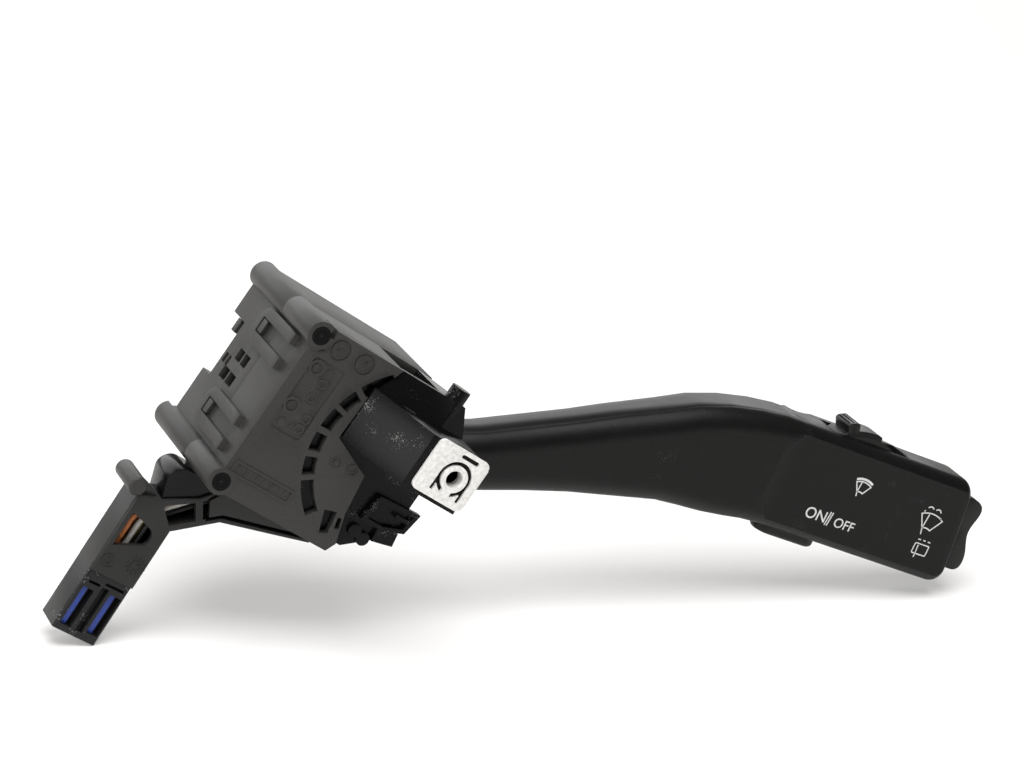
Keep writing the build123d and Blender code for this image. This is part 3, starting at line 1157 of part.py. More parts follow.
TERMINAL_L = 11.0
with BuildPart() as plug_terminals:
    with BuildSketch(arm_cut(PLUG_HEIGHT - 3.0)):
        with Locations((0, ARM_MID_Y + 0.7)):
            with GridLocations(WIRE_PITCH_X, WIRE_PITCH_Y, 3, 2):
                Rectangle(1.7, 1.7)
    extrude(amount=-TERMINAL_L)
    with BuildSketch(arm_cut(PLUG_HEIGHT - 3.0 - TERMINAL_L)):
        with Locations((0, ARM_MID_Y + 0.7)):
            with GridLocations(WIRE_PITCH_X, WIRE_PITCH_Y, 3, 2):
                Rectangle(0.7, 1.1)
    extrude(amount=5, mode=Mode.SUBTRACT)
plug_terminals.part.label = "plug_terminals"
export_step(plug_terminals.part, "parts/plug_terminals.step")

# ---------------------------------------------------------------- terminal block over the outlet
BLOCK_Z = -HALF_H + 3.4
BLOCK_L, BLOCK_W, BLOCK_H = 12.0, 11.0, 5.0
WIRE_X = (OUTLET_X0 + OUTLET_X1) / 2
with BuildPart() as terminal_block:
    with BuildSketch(deck(BLOCK_Z)):
        with Locations((WIRE_X, ARM_MID_Y)):
            Rectangle(BLOCK_L, BLOCK_W)
            with GridLocations(WIRE_PITCH_X, WIRE_PITCH_Y, 3, 2):
                Circle(WIRE_R + 0.02, mode=Mode.SUBTRACT)
    extrude(amount=BLOCK_H)
terminal_block.part.label = "terminal_block"
export_step(terminal_block.part, "parts/terminal_block.step")

# ---------------------------------------------------------------- wires from block to plug
WIRE_NAMES = ("orange", "white", "black", "teal", "brown", "yellow")
WIRE_TOP, WIRE_BEND = BLOCK_Z + 4.4, -26.6
WIRE_RADII = (7.0, 7.0)


def wire(column, row):
    """Solid of one wire: down from the block, across the elbow, down into the plug."""
    shift = (column - 1) * WIRE_PITCH_X
    y = ARM_MID_Y + (row - 0.5) * WIRE_PITCH_Y
    low = arm_cut(PLUG_HEIGHT - 3.0).origin + direction(ARM_LEAN) * shift + Vector(0, y + 0.7, 0)
    knee_low = arm_cut(-1.6).origin + direction(ARM_LEAN) * shift + Vector(0, y + 0.7, 0)
    with BuildPart(mode=Mode.PRIVATE) as strand:
        with BuildLine() as route:
            FilletPolyline(point(WIRE_X + shift, y, WIRE_TOP), point(WIRE_X + shift, y, WIRE_BEND),
                           knee_low, low, radius=list(WIRE_RADII))
        with BuildSketch(Plane(origin=route.line @ 0, z_dir=route.line % 0)):
            Circle(WIRE_R)
        sweep(path=route.line)
    return strand.part


for index, colour in enumerate(WIRE_NAMES):
    strand = wire(index % 3, index // 3)
    strand.label = f"wire_{colour}"
    export_step(strand, f"parts/wire_{colour}.step")
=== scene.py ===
from math import cos, radians, sin

import bpy
import numpy as np
from mathutils import Matrix, Vector


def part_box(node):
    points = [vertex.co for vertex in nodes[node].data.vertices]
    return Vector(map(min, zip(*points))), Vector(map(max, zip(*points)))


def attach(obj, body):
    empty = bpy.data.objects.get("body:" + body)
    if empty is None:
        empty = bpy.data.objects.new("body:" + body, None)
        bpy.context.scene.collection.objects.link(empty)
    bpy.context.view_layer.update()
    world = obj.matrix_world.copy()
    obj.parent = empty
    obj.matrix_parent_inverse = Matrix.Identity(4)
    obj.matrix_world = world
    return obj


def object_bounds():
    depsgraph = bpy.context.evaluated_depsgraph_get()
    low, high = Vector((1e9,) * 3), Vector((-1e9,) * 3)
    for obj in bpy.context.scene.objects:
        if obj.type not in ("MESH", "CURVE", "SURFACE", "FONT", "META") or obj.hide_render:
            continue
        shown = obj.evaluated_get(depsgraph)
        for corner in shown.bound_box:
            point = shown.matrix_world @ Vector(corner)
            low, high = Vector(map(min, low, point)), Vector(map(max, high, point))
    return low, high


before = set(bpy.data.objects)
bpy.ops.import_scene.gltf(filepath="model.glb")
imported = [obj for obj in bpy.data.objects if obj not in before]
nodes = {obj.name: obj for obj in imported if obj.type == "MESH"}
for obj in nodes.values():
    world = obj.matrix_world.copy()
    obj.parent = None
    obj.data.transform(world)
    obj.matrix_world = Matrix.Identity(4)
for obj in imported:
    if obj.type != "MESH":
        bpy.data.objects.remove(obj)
cad_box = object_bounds()

# ------------------------------------------------------------------ camera
# The switch is seen from the driver's side and a little above, 0.75 m away.
EYE_BACK = Vector((-0.3983, -0.8535, 0.3360)).normalized()
EYE_RIGHT = Vector((0.9171, -0.3778, 0.1273)).normalized()
EYE_UP = EYE_BACK.cross(EYE_RIGHT)
LOOK_AT = Vector((0.059355, -0.023, 0.004906))
EYE_DISTANCE = 0.752

eye = bpy.data.cameras.new("eye")
eye.sensor_width = 36.0
eye.lens = 112.5
eye_object = bpy.data.objects.new("eye", eye)
bpy.context.collection.objects.link(eye_object)
eye_place = Matrix((EYE_RIGHT, EYE_UP, EYE_BACK)).transposed().to_4x4()
eye_place.translation = LOOK_AT + EYE_BACK * EYE_DISTANCE
eye_object.matrix_world = eye_place
bpy.context.scene.camera = eye_object
bpy.context.scene.view_settings.view_transform = "Standard"

# ------------------------------------------------------------------ table and light
# A plain white table top.  A wide softbox hangs over the driver's side, so the soft shadows lie
# under and behind the switch.  A pale panel behind it shines on the top faces, and a small one at
# the left lights the seat face.
FLOOR_COLOUR = (0.80, 0.79, 0.775, 1.0)
FLOOR_HALF = 6.0
FLOOR_GLOW = 0.22
ROOM_LIGHT = 0.13

floor_z = cad_box[0][2]
floor_mesh = bpy.data.meshes.new("floor")
floor_mesh.from_pydata(
    [(-FLOOR_HALF, -FLOOR_HALF, floor_z), (FLOOR_HALF, -FLOOR_HALF, floor_z),
     (FLOOR_HALF, FLOOR_HALF, floor_z), (-FLOOR_HALF, FLOOR_HALF, floor_z)], [], [(0, 1, 2, 3)])
floor = bpy.data.objects.new("floor", floor_mesh)
bpy.context.collection.objects.link(floor)

floor_paint = bpy.data.materials.new("floor_white")
floor_paint.use_nodes = True
tree = floor_paint.node_tree
tree.nodes.clear()
paper = tree.nodes.new("ShaderNodeBsdfDiffuse")
paper.inputs["Color"].default_value = FLOOR_COLOUR
glow = tree.nodes.new("ShaderNodeEmission")
glow.inputs["Color"].default_value = (1.0, 1.0, 1.0, 1.0)
rays = tree.nodes.new("ShaderNodeLightPath")
seen = tree.nodes.new("ShaderNodeMath")
seen.operation = "MULTIPLY"
seen.inputs[1].default_value = FLOOR_GLOW
blend_in = tree.nodes.new("ShaderNodeMixShader")
out = tree.nodes.new("ShaderNodeOutputMaterial")
tree.links.new(rays.outputs["Is Camera Ray"], seen.inputs[0])
tree.links.new(seen.outputs[0], blend_in.inputs[0])
tree.links.new(paper.outputs[0], blend_in.inputs[1])
tree.links.new(glow.outputs[0], blend_in.inputs[2])
tree.links.new(blend_in.outputs[0], out.inputs["Surface"])
floor_mesh.materials.append(floor_paint)

room = bpy.data.worlds.new("room")
room.use_nodes = True
bpy.context.scene.world = room
tree = room.node_tree
tree.nodes.clear()
rays = tree.nodes.new("ShaderNodeLightPath")
walls = tree.nodes.new("ShaderNodeBackground")
walls.inputs["Color"].default_value = (1.0, 0.985, 0.96, 1.0)
walls.inputs["Strength"].default_value = ROOM_LIGHT
white = tree.nodes.new("ShaderNodeBackground")
white.inputs["Color"].default_value = (1.0, 1.0, 1.0, 1.0)
white.inputs["Strength"].default_value = 1.0
pick = tree.nodes.new("ShaderNodeMixShader")
out = tree.nodes.new("ShaderNodeOutputWorld")
tree.links.new(rays.outputs["Is Camera Ray"], pick.inputs[0])
tree.links.new(walls.outputs[0], pick.inputs[1])
tree.links.new(white.outputs[0], pick.inputs[2])
tree.links.new(pick.outputs[0], out.inputs["Surface"])


def softbox(name, place, target, width, height, watts):
    """A rectangular lamp at place that faces target."""
    lamp = bpy.data.lights.new(name, "AREA")
    lamp.shape = "RECTANGLE"
    lamp.size, lamp.size_y = width, height
    lamp.energy = watts
    holder = bpy.data.objects.new(name, lamp)
    bpy.context.collection.objects.link(holder)
    holder.rotation_euler = (Vector(target) - Vector(place)).to_track_quat("-Z", "Y").to_euler()
    holder.location = place
    return holder


softbox("softbox_over", (-0.05, -0.38, 1.15), (0.08, 0.0, -0.05), 1.1, 0.9, 22.0)
softbox("panel_behind", (0.10, 1.30, 0.62), (0.08, 0.0, -0.03), 2.6, 1.1, 21.0)
softbox("panel_left", (-1.10, -0.45, 0.45), (-0.10, 0.0, 0.0), 0.9, 0.8, 9.5)


# ------------------------------------------------------------------ front shell of the body
# Glass-filled grey nylon, moulded in one piece with the arc of windows and the snap bails.
# Its finish is a dull fine spark-eroded grain.
def grained(name, colour, rough, grain_mm=0.35, speckle=0.25, bump=0.25, gloss=0.5):
    """Moulded plastic: the colour swings by speckle with a noise of grain_mm and is a tenth
    lighter and darker in wide cloudy patches, which also vary the roughness; the grain is a bump."""
    finish = bpy.data.materials.new(name)
    finish.use_nodes = True
    tree = finish.node_tree
    shader = tree.nodes["Principled BSDF"]
    shader.inputs["Specular IOR Level"].default_value = gloss
    place = tree.nodes.new("ShaderNodeTexCoord")
    fine = tree.nodes.new("ShaderNodeTexNoise")
    fine.inputs["Scale"].default_value = 1000.0 / grain_mm
    fine.inputs["Detail"].default_value = 3.0
    tree.links.new(place.outputs["Object"], fine.inputs["Vector"])
    cloud = tree.nodes.new("ShaderNodeTexNoise")
    cloud.inputs["Scale"].default_value = 90.0
    cloud.inputs["Detail"].default_value = 5.0
    tree.links.new(place.outputs["Object"], cloud.inputs["Vector"])
    tone = tree.nodes.new("ShaderNodeValToRGB")
    tone.name = "tone"
    tone.color_ramp.elements[0].position = 0.3
    tone.color_ramp.elements[1].position = 0.72
    tone.color_ramp.elements[0].color = [c * (1 - speckle) for c in colour] + [1.0]
    tone.color_ramp.elements[1].color = [min(1.0, c * (1 + speckle)) for c in colour] + [1.0]
    tree.links.new(fine.outputs["Fac"], tone.inputs["Fac"])
    patch = tree.nodes.new("ShaderNodeMapRange")
    patch.inputs["To Min"].default_value = 0.86
    patch.inputs["To Max"].default_value = 1.14
    tree.links.new(cloud.outputs["Fac"], patch.inputs["Value"])
    shade = tree.nodes.new("ShaderNodeVectorMath")
    shade.operation = "SCALE"
    tree.links.new(tone.outputs["Color"], shade.inputs[0])
    tree.links.new(patch.outputs["Result"], shade.inputs["Scale"])
    tree.links.new(shade.outputs["Vector"], shader.inputs["Base Color"])
    sheen = tree.nodes.new("ShaderNodeMapRange")
    sheen.inputs["To Min"].default_value = rough * 0.82
    sheen.inputs["To Max"].default_value = min(1.0, rough * 1.18)
    tree.links.new(cloud.outputs["Fac"], sheen.inputs["Value"])
    tree.links.new(sheen.outputs["Result"], shader.inputs["Roughness"])
    relief = tree.nodes.new("ShaderNodeBump")
    relief.inputs["Strength"].default_value = bump
    relief.inputs["Distance"].default_value = grain_mm * 0.00025
    tree.links.new(fine.outputs["Fac"], relief.inputs["Height"])
    tree.links.new(relief.outputs["Normal"], shader.inputs["Normal"])
    return finish


# curved faces are shaded smooth, and edges over CRISP_ANGLE stay sharp
CRISP_ANGLE = radians(32.0)
EASED_ANGLE = radians(38.0)
WELD_GAP = 2e-6
rounded = bpy.data.node_groups.new("smooth_curved_faces", "GeometryNodeTree")
rounded.interface.new_socket("Geometry", in_out="INPUT", socket_type="NodeSocketGeometry")
rounded.interface.new_socket("Geometry", in_out="OUTPUT", socket_type="NodeSocketGeometry")
came = rounded.nodes.new("NodeGroupInput")
goes = rounded.nodes.new("NodeGroupOutput")
edge_angle = rounded.nodes.new("GeometryNodeInputMeshEdgeAngle")
soft = rounded.nodes.new("FunctionNodeCompare")
soft.operation = "LESS_THAN"
soft.inputs["B"].default_value = CRISP_ANGLE
edges_soft = rounded.nodes.new("GeometryNodeSetShadeSmooth")
edges_soft.domain = "EDGE"
faces_soft = rounded.nodes.new("GeometryNodeSetShadeSmooth")
faces_soft.domain = "FACE"
rounded.links.new(edge_angle.outputs["Unsigned Angle"], soft.inputs["A"])
rounded.links.new(came.outputs[0], edges_soft.inputs["Geometry"])
rounded.links.new(soft.outputs["Result"], edges_soft.inputs["Shade Smooth"])
rounded.links.new(edges_soft.outputs[0], faces_soft.inputs["Geometry"])
rounded.links.new(faces_soft.outputs[0], goes.inputs[0])


def dress(node, finish, edge_mm=0.15):
    """A CAD node in its finish, with its edges over EASED_ANGLE eased by edge_mm."""
    piece = nodes[node]
    piece.data.materials.clear()
    piece.data.materials.append(finish)
    weld = piece.modifiers.new("weld", "WELD")
    weld.merge_threshold = WELD_GAP
    if edge_mm:
        eased = piece.modifiers.new("eased_edges", "BEVEL")
        eased.width = edge_mm / 1000.0
        eased.segments = 2
        eased.limit_method = "ANGLE"
        eased.angle_limit = EASED_ANGLE
        eased.use_clamp_overlap = True
    smooth = piece.modifiers.new("smooth", "NODES")
    smooth.node_group = rounded
    return piece


shell_grey = grained("shell_grey", (0.0255, 0.0248, 0.0238), 0.50, 0.30, 0.32, 0.45, 0.32)
dress("front_shell", shell_grey, 0.2)


# ------------------------------------------------------------------ moulded marks on the front shell
# Fine raised lines of the same nylon: two round mould-date marks with an arrow and ticks, bars in
# the frame at the lower edge, and round marks beside the arc of windows.
LEAN = radians(30.0)
PLATE_FACE_Y = -0.021


def on_body(x, z, y):
    """Places in metres of the points x along the body and z up it, in millimetres, at depth y."""
    along, up = np.asarray(x, float), np.asarray(z, float)
    return np.stack([along * cos(LEAN) + up * sin(LEAN), 1000 * y + 0 * along,
                     up * cos(LEAN) - along * sin(LEAN)], -1) / 1000


def raised_lines(name, lines, width, proud, y, finish, body):
    """Closed thin strips along lines on an upright face.  Each line is a list of (x, z) in body
    millimetres; the strip's edges are the line plus and minus half the width along the mitre
    normal n = (n1 + n2) / (1 + n1.n2), and it stands proud of depth y towards the driver."""
    corners, faces, first = [], [], 0
    for line in lines:
        run = np.array(line, float)
        closed = np.allclose(run[0], run[-1])
        run = run[:-1] if closed else run
        step = np.roll(run, -1, 0) - run
        step /= np.linalg.norm(step, axis=1)[:, None] + 1e-12
        after = np.stack([-step[:, 1], step[:, 0]], 1)
        before = np.roll(after, 1, 0)
        if not closed:
            after[-1] = before[-1]
            before[0] = after[0]
        mitre = (before + after) / (1 + (before * after).sum(1))[:, None]
        count = len(run)
        for depth in (y, y - proud / 1000):
            for edge in (run + mitre * width / 2, run - mitre * width / 2):
                corners.append(on_body(edge[:, 0], edge[:, 1], depth))
        left, right, left_top, right_top = (first + count * row for row in range(4))
        i = np.arange(count if closed else count - 1)
        j = (i + 1) % count
        for quad in ((right_top + i, right_top + j, left_top + j, left_top + i),
                     (left_top + i, left_top + j, left + j, left + i),
                     (right + i, right + j, right_top + j, right_top + i),
                     (left + j, right + j, right + i, left + i)):
            faces += np.stack(quad, 1).tolist()
        if not closed:
            last = count - 1
            faces.append((right, right_top, left_top, left))
            faces.append((left + last, left_top + last, right_top + last, right + last))
        first += 4 * count
    mesh = bpy.data.meshes.new(name)
    mesh.from_pydata(np.vstack(corners).tolist(), [], faces)
    mesh.materials.append(finish)
    piece = bpy.data.objects.new(name, mesh)
    bpy.context.collection.objects.link(piece)
    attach(piece, body)
    return piece


def ring(x, z, radius, start=0.0, end=360.0, steps=28):
    """Points round an arc centred on (x, z), from start to end in degrees."""
    turns = np.radians(np.linspace(start, end, steps + 1))
    return [(x + radius * cos(turn), z + radius * sin(turn)) for turn in turns]


DATE_MARK_Z = 19.6
date_marks = []
for mark_x, arrow in ((7.4, 200.0), (14.6, 75.0)):
    date_marks.append(ring(mark_x, DATE_MARK_Z, 1.05, steps=20))
    for turn in range(0, 360, 30):
        date_marks.append(ring(mark_x, DATE_MARK_Z, 1.75, turn - 6, turn + 6, 2))
    tip = np.array([cos(radians(arrow)), sin(radians(arrow))])
    side = np.array([-tip[1], tip[0]])
    middle = np.array([mark_x, DATE_MARK_Z])
    date_marks.append([middle - 0.85 * tip, middle + 0.85 * tip])
    date_marks.append([middle + 0.3 * tip + 0.4 * side, middle + 0.85 * tip,
                       middle + 0.3 * tip - 0.4 * side])
raised_lines("date_marks", date_marks, 0.28, 0.16, PLATE_FACE_Y + 0.00005, shell_grey, "housing")

FRAME_LOW, FRAME_HIGH = -17.0, -15.2
frame_bars = [[(x, FRAME_LOW), (x, FRAME_HIGH)] for x in (3.0, 4.4, 5.2, 7.4, 8.2,
                                                             10.3, 11.8, 12.6, 14.9, 16.4)]
frame_bars += [[(5.6, -16.1), (6.8, -16.1)], [(8.8, -15.3), (9.8, -16.9)],
               [(13.0, -15.4), (14.2, -15.4)]]
raised_lines("frame_bars", frame_bars, 0.30, 0.22, PLATE_FACE_Y + 0.0001, shell_grey, "housing")

window_marks = [ring(23.1, -3.5, 1.35), ring(27.9, -3.2, 1.35),
                ring(23.1, -3.5, 0.6, 40, 220, 10), ring(27.9, -3.2, 0.6, 220, 400, 10)]
raised_lines("window_marks", window_marks, 0.30, 0.24, PLATE_FACE_Y + 0.00005, shell_grey, "housing")

# The real rails are open at their ends.  Here the solid rail is closed, so thin dark discs of two
# rings each stand for the openings: their near-black colour is painted shade, the dark inside the open
# ends.
RAIL_END_X, RAIL_END_Y = 0.9, -0.0216
DISC_RINGS, RING_WIDTH = (0.75, 1.75), 1.1
rail_end_painted_shade = grained("rail_end_painted_shade", (0.004, 0.004, 0.004), 0.7, 0.4, 0.1, 0.2, 0.1)
for number, rail_z in ((1, 20.2), (2, -20.6)):
    disc = [ring(RAIL_END_X, rail_z, radius, steps=steps) for radius, steps in zip(DISC_RINGS, (20, 24))]
    raised_lines("rail_end_shade_disc_%d" % number, disc, RING_WIDTH, 0.05, RAIL_END_Y, rail_end_painted_shade, "housing")

panel_marks = [ring(5.0, 13.2, 0.9), ring(5.0, 2.9, 0.95, 20, 340, 20), [(4.3, 2.9), (5.7, 2.9)],
               ring(8.9, 13.6, 1.0, 0, 180, 10), [(7.6, 9.0), (9.6, 9.0)], [(7.6, 4.9), (9.6, 4.9)],
               [(7.0, 11.9), (10.2, 11.9)], ring(8.6, -1.4, 1.1, 90, 270, 10)]
raised_lines("panel_marks", panel_marks, 0.24, 0.14, PLATE_FACE_Y + 0.00035, shell_grey, "housing")

# ------------------------------------------------------------------ rear shell of the body
# The other half of the grey nylon body, latched to the front shell along an upright seam.
dress("rear_shell", shell_grey, 0.2)
dress("board_frame", shell_grey, 0.15)


# ------------------------------------------------------------------ carrier with its tower
# Black glossy acetal-like moulding that holds the lever's pivot and carries the screw tower.
# Its flank carries a little grease and swarf, which shows as pale shiny specks.
def specked(finish, speck_colour, speck_mm, share):
    """Adds specks to a finish: where a noise of speck_mm times a wide patch noise is over
    1 - share, the colour goes to speck_colour, over a soft edge."""
    patch_scale, soft_edge = 160.0, 0.03
    tree = finish.node_tree
    shader = tree.nodes["Principled BSDF"]
    under = shader.inputs["Base Color"].links[0].from_socket
    place = tree.nodes.new("ShaderNodeTexCoord")
    specks = tree.nodes.new("ShaderNodeTexNoise")
    specks.inputs["Scale"].default_value = 1000.0 / speck_mm
    specks.inputs["Detail"].default_value = 1.0
    tree.links.new(place.outputs["Object"], specks.inputs["Vector"])
    patches = tree.nodes.new("ShaderNodeTexNoise")
    patches.inputs["Scale"].default_value = patch_scale
    patches.inputs["Detail"].default_value = 2.0
    tree.links.new(place.outputs["Object"], patches.inputs["Vector"])
    both = tree.nodes.new("ShaderNodeMath")
    both.operation = "MULTIPLY"
    tree.links.new(specks.outputs["Fac"], both.inputs[0])
    tree.links.new(patches.outputs["Fac"], both.inputs[1])
    cut = tree.nodes.new("ShaderNodeMapRange")
    cut.inputs["From Min"].default_value = 1 - share
    cut.inputs["From Max"].default_value = 1 - share + soft_edge
    tree.links.new(both.outputs[0], cut.inputs["Value"])
    over = tree.nodes.new("ShaderNodeMixRGB")
    over.inputs["Color2"].default_value = (*speck_colour, 1.0)
    tree.links.new(cut.outputs["Result"], over.inputs["Fac"])
    tree.links.new(under, over.inputs["Color1"])
    tree.links.new(over.outputs["Color"], shader.inputs["Base Color"])
    return finish


carrier_black = specked(grained("carrier_black", (0.0040, 0.0040, 0.0042), 0.26, 0.6, 0.3, 0.10, 0.11),
                        (0.15, 0.147, 0.14), 0.30, 0.590)
dress("carrier", carrier_black, 0.25)

# A thin dark web behind the bracket beside the tower.  The solid bracket is open there.
raised_lines("bracket_web", [[(39.2, -8.7), (49.0, -7.7)]], 4.6, 0.4, -0.0188, carrier_black, "housing")


# ------------------------------------------------------------------ spring nut on the tower
# Sheet-steel clip with a drawn hole and a C slot, zinc plated: pale, dull, with a mottled spangle.
def plated(name, colour, rough, spangle=0.12, spangle_mm=0.7):
    """Plated or bare metal: colour and roughness wander with a spangle noise, with a faint bump."""
    finish = bpy.data.materials.new(name)
    finish.use_nodes = True
    tree = finish.node_tree
    shader = tree.nodes["Principled BSDF"]
    shader.inputs["Metallic"].default_value = 1.0
    place = tree.nodes.new("ShaderNodeTexCoord")
    flake = tree.nodes.new("ShaderNodeTexNoise")
    flake.inputs["Scale"].default_value = 1000.0 / spangle_mm
    flake.inputs["Detail"].default_value = 4.0
    tree.links.new(place.outputs["Object"], flake.inputs["Vector"])
    tone = tree.nodes.new("ShaderNodeValToRGB")
    tone.color_ramp.elements[0].position = 0.35
    tone.color_ramp.elements[1].position = 0.65
    tone.color_ramp.elements[0].color = [c * (1 - spangle) for c in colour] + [1.0]
    tone.color_ramp.elements[1].color = [min(1.0, c * (1 + spangle)) for c in colour] + [1.0]
    tree.links.new(flake.outputs["Fac"], tone.inputs["Fac"])
    tree.links.new(tone.outputs["Color"], shader.inputs["Base Color"])
    sheen = tree.nodes.new("ShaderNodeMapRange")
    sheen.inputs["To Min"].default_value = rough * 0.7
    sheen.inputs["To Max"].default_value = min(1.0, rough * 1.3)
    tree.links.new(flake.outputs["Fac"], sheen.inputs["Value"])
    tree.links.new(sheen.outputs["Result"], shader.inputs["Roughness"])
    relief = tree.nodes.new("ShaderNodeBump")
    relief.inputs["Strength"].default_value = 0.25
    relief.inputs["Distance"].default_value = 0.00006
    tree.links.new(flake.outputs["Fac"], relief.inputs["Height"])
    tree.links.new(relief.outputs["Normal"], shader.inputs["Normal"])
    return finish


# a dull plating scatters, so about two thirds of its look is a plain pale coat
nut_zinc = plated("nut_zinc", (0.74, 0.73, 0.71), 0.55, 0.12, 0.9)
nut_zinc.node_tree.nodes["Principled BSDF"].inputs["Metallic"].default_value = 0.35
dress("spring_nut", nut_zinc, 0.10)

# ------------------------------------------------------------------ yoke and tilt pin
# Black nylon yoke that swings in the carrier, with a turned steel pin that the lever tilts on.
frame_black = grained("frame_black", (0.008, 0.008, 0.0082), 0.32, 0.6, 0.3, 0.12, 0.22)
dress("swing_yoke", frame_black, 0.2)
pin_steel = plated("pin_steel", (0.62, 0.61, 0.60), 0.25)
dress("tilt_pin", pin_steel, 0.0)

# ------------------------------------------------------------------ detent cam, plunger and spring
# Cream acetal parts that run dry on each other, with a wound steel spring.
acetal = grained("acetal_cream", (0.70, 0.66, 0.56), 0.42, 0.5, 0.06, 0.1)
dress("detent_cam", acetal, 0.15)
dress("detent_plunger", acetal, 0.15)
dress("detent_spring", pin_steel, 0.0)

# ------------------------------------------------------------------ contact board and slider
# Green glass-fibre board with brass tracks, swept by brass fingers on an acetal slider.
board_green = grained("board_green", (0.02, 0.12, 0.045), 0.35, 0.3, 0.1, 0.1)
dress("contact_board", board_green, 0.05)
dress("contact_slider", acetal, 0.15)
contact_brass = plated("contact_brass", (0.80, 0.60, 0.30), 0.3)
dress("contact_tracks", contact_brass, 0.0)
dress("slider_fingers", contact_brass, 0.0)

# ------------------------------------------------------------------ lever
# Two black shells with a soft, finely grained satin skin, closed round the black lever root.
lever_satin = specked(grained("lever_satin", (0.0046, 0.0045, 0.0044), 0.38, 0.26, 0.5, 0.40, 0.17),
                      (0.030, 0.0295, 0.029), 0.30, 0.555)
dress("lever_root", frame_black, 0.3)
dress("lever_front_shell", lever_satin, 0.3)
dress("lever_rear_shell", lever_satin, 0.3)

# ------------------------------------------------------------------ printing on the lever's head
# Pale pad-printed signs: a wiper, a washer, a rear wiper, and ON and OFF parted by a double bar.
PRINT_FACE_Y = -0.0083
PRINT_TURN = radians(10.9)
INK_LIFT = 0.00001
INK_THICK = 0.02
print_white = grained("print_white", (0.60, 0.60, 0.59), 0.5, 0.12, 0.18, 0.05)


def sign(lines, x, z, size):
    """Lines drawn round (0, 0) in millimetres, scaled by size, turned with the head and set at
    (x, z) of the body."""
    turned = []
    for line in lines:
        run = np.array(line, float) * size
        turned.append([(x + u * cos(PRINT_TURN) - v * sin(PRINT_TURN),
                        z + u * sin(PRINT_TURN) + v * cos(PRINT_TURN)) for u, v in run])
    return turned


screen_fan = ring(0, -4.6, 6.2, 116, 58, 14) + ring(0, -4.6, 2.7, 62, 112, 8)
screen_fan.append(screen_fan[0])
wiper_arm = [(-0.55, -3.6), (-0.95, -2.2), (-0.7, 1.3)]
spray = [ring(-1.0, 2.2, 0.85, 150, 30, 8), ring(1.1, 2.1, 0.85, 140, 15, 8),
         [(-2.2, 1.9), (-2.3, 1.5)], [(2.5, 1.3), (2.7, 0.9)]]
rear_glass = [(-1.9, -1.3), (1.9, -1.3), (2.1, -1.1), (2.1, 1.1), (1.9, 1.3), (-1.9, 1.3),
              (-2.1, 1.1), (-2.1, -1.1), (-1.9, -1.3)]
rear_drops = [[(-1.9, 2.3), (-1.1, 2.35)], [(-0.35, 2.35), (0.4, 2.35)], [(1.1, 2.35), (1.9, 2.3)]]

raised_lines("wiper_sign", sign([screen_fan, wiper_arm], 161.2, 57.2, 0.80), 0.34, INK_THICK,
             PRINT_FACE_Y, print_white, "lever")
raised_lines("wiper_sweep", sign([ring(0, -4.6, 7.1, 116, 60, 16)], 161.2, 57.2, 0.80), 0.62, INK_THICK,
             PRINT_FACE_Y, print_white, "lever")
raised_lines("washer_sign", sign([screen_fan, wiper_arm] + spray, 185.4, 59.3, 1.18), 0.34, INK_THICK,
             PRINT_FACE_Y, print_white, "lever")
raised_lines("rear_wiper_sign",
             sign([rear_glass, [(-0.9, -2.3), (-0.9, -1.3), (-1.1, 0.9)]] + rear_drops,
                  188.4, 51.6, 1.08), 0.32, INK_THICK, PRINT_FACE_Y, print_white, "lever")
raised_lines("double_bar", sign([[(-0.35, -1.9), (0.05, 1.9)], [(0.35, -1.9), (0.75, 1.9)]],
                                158.3, 45.6, 1.0), 0.34, INK_THICK, PRINT_FACE_Y, print_white, "lever")


def printed_word(name, word, x, z, height):
    """A word in plain capitals with its left foot at (x, z) of the body, height in millimetres."""
    curve = bpy.data.curves.new(name + "_curve", "FONT")
    curve.body = word
    curve.size = height / 0.70
    curve.extrude = 0.01
    curve.offset = 0.02
    holder = bpy.data.objects.new(name + "_curve", curve)
    mesh = bpy.data.meshes.new_from_object(holder)
    flat = np.empty(3 * len(mesh.vertices))
    mesh.vertices.foreach_get("co", flat)
    flat = flat.reshape(-1, 3)
    across = x + flat[:, 0] * cos(PRINT_TURN) - flat[:, 1] * sin(PRINT_TURN)
    up = z + flat[:, 0] * sin(PRINT_TURN) + flat[:, 1] * cos(PRINT_TURN)
    spots = on_body(across, up, PRINT_FACE_Y - INK_LIFT - flat[:, 2] / 1000)
    mesh.vertices.foreach_set("co", spots.ravel())
    mesh.materials.clear()
    mesh.materials.append(print_white)
    bpy.data.objects.remove(holder)
    piece = bpy.data.objects.new(name, mesh)
    bpy.context.collection.objects.link(piece)
    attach(piece, "lever")
    return piece


printed_word("word_on", "ON", 151.3, 42.8, 3.0)
printed_word("word_off", "OFF", 160.6, 44.5, 2.6)

# ------------------------------------------------------------------ interval wheel and its bezel
# Satin black thumb wheel in a thin bezel; the thumb takes it by a ribbed nub.
button_satin = grained("button_satin", (0.008, 0.0078, 0.0076), 0.36, 0.25, 0.35, 0.3, 0.22)
dress("wheel_bezel", button_satin, 0.2)
dress("interval_wheel", button_satin, 0.3)

# the wheel's outer rim is drawn 1 mm larger than the solid wheel, over the part of it that shows
axle_low, axle_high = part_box("wheel_axle")
axle_middle = (np.array(axle_low) + np.array(axle_high)) / 2
RIM_R, RIM_HALF, RIM_ROUND, RIM_DEEP = 16.5, 3.9, 0.7, 1.6
RIM_FROM, RIM_TO, RIM_STEPS = 62, 150, 90
ROUND_STEPS = 7


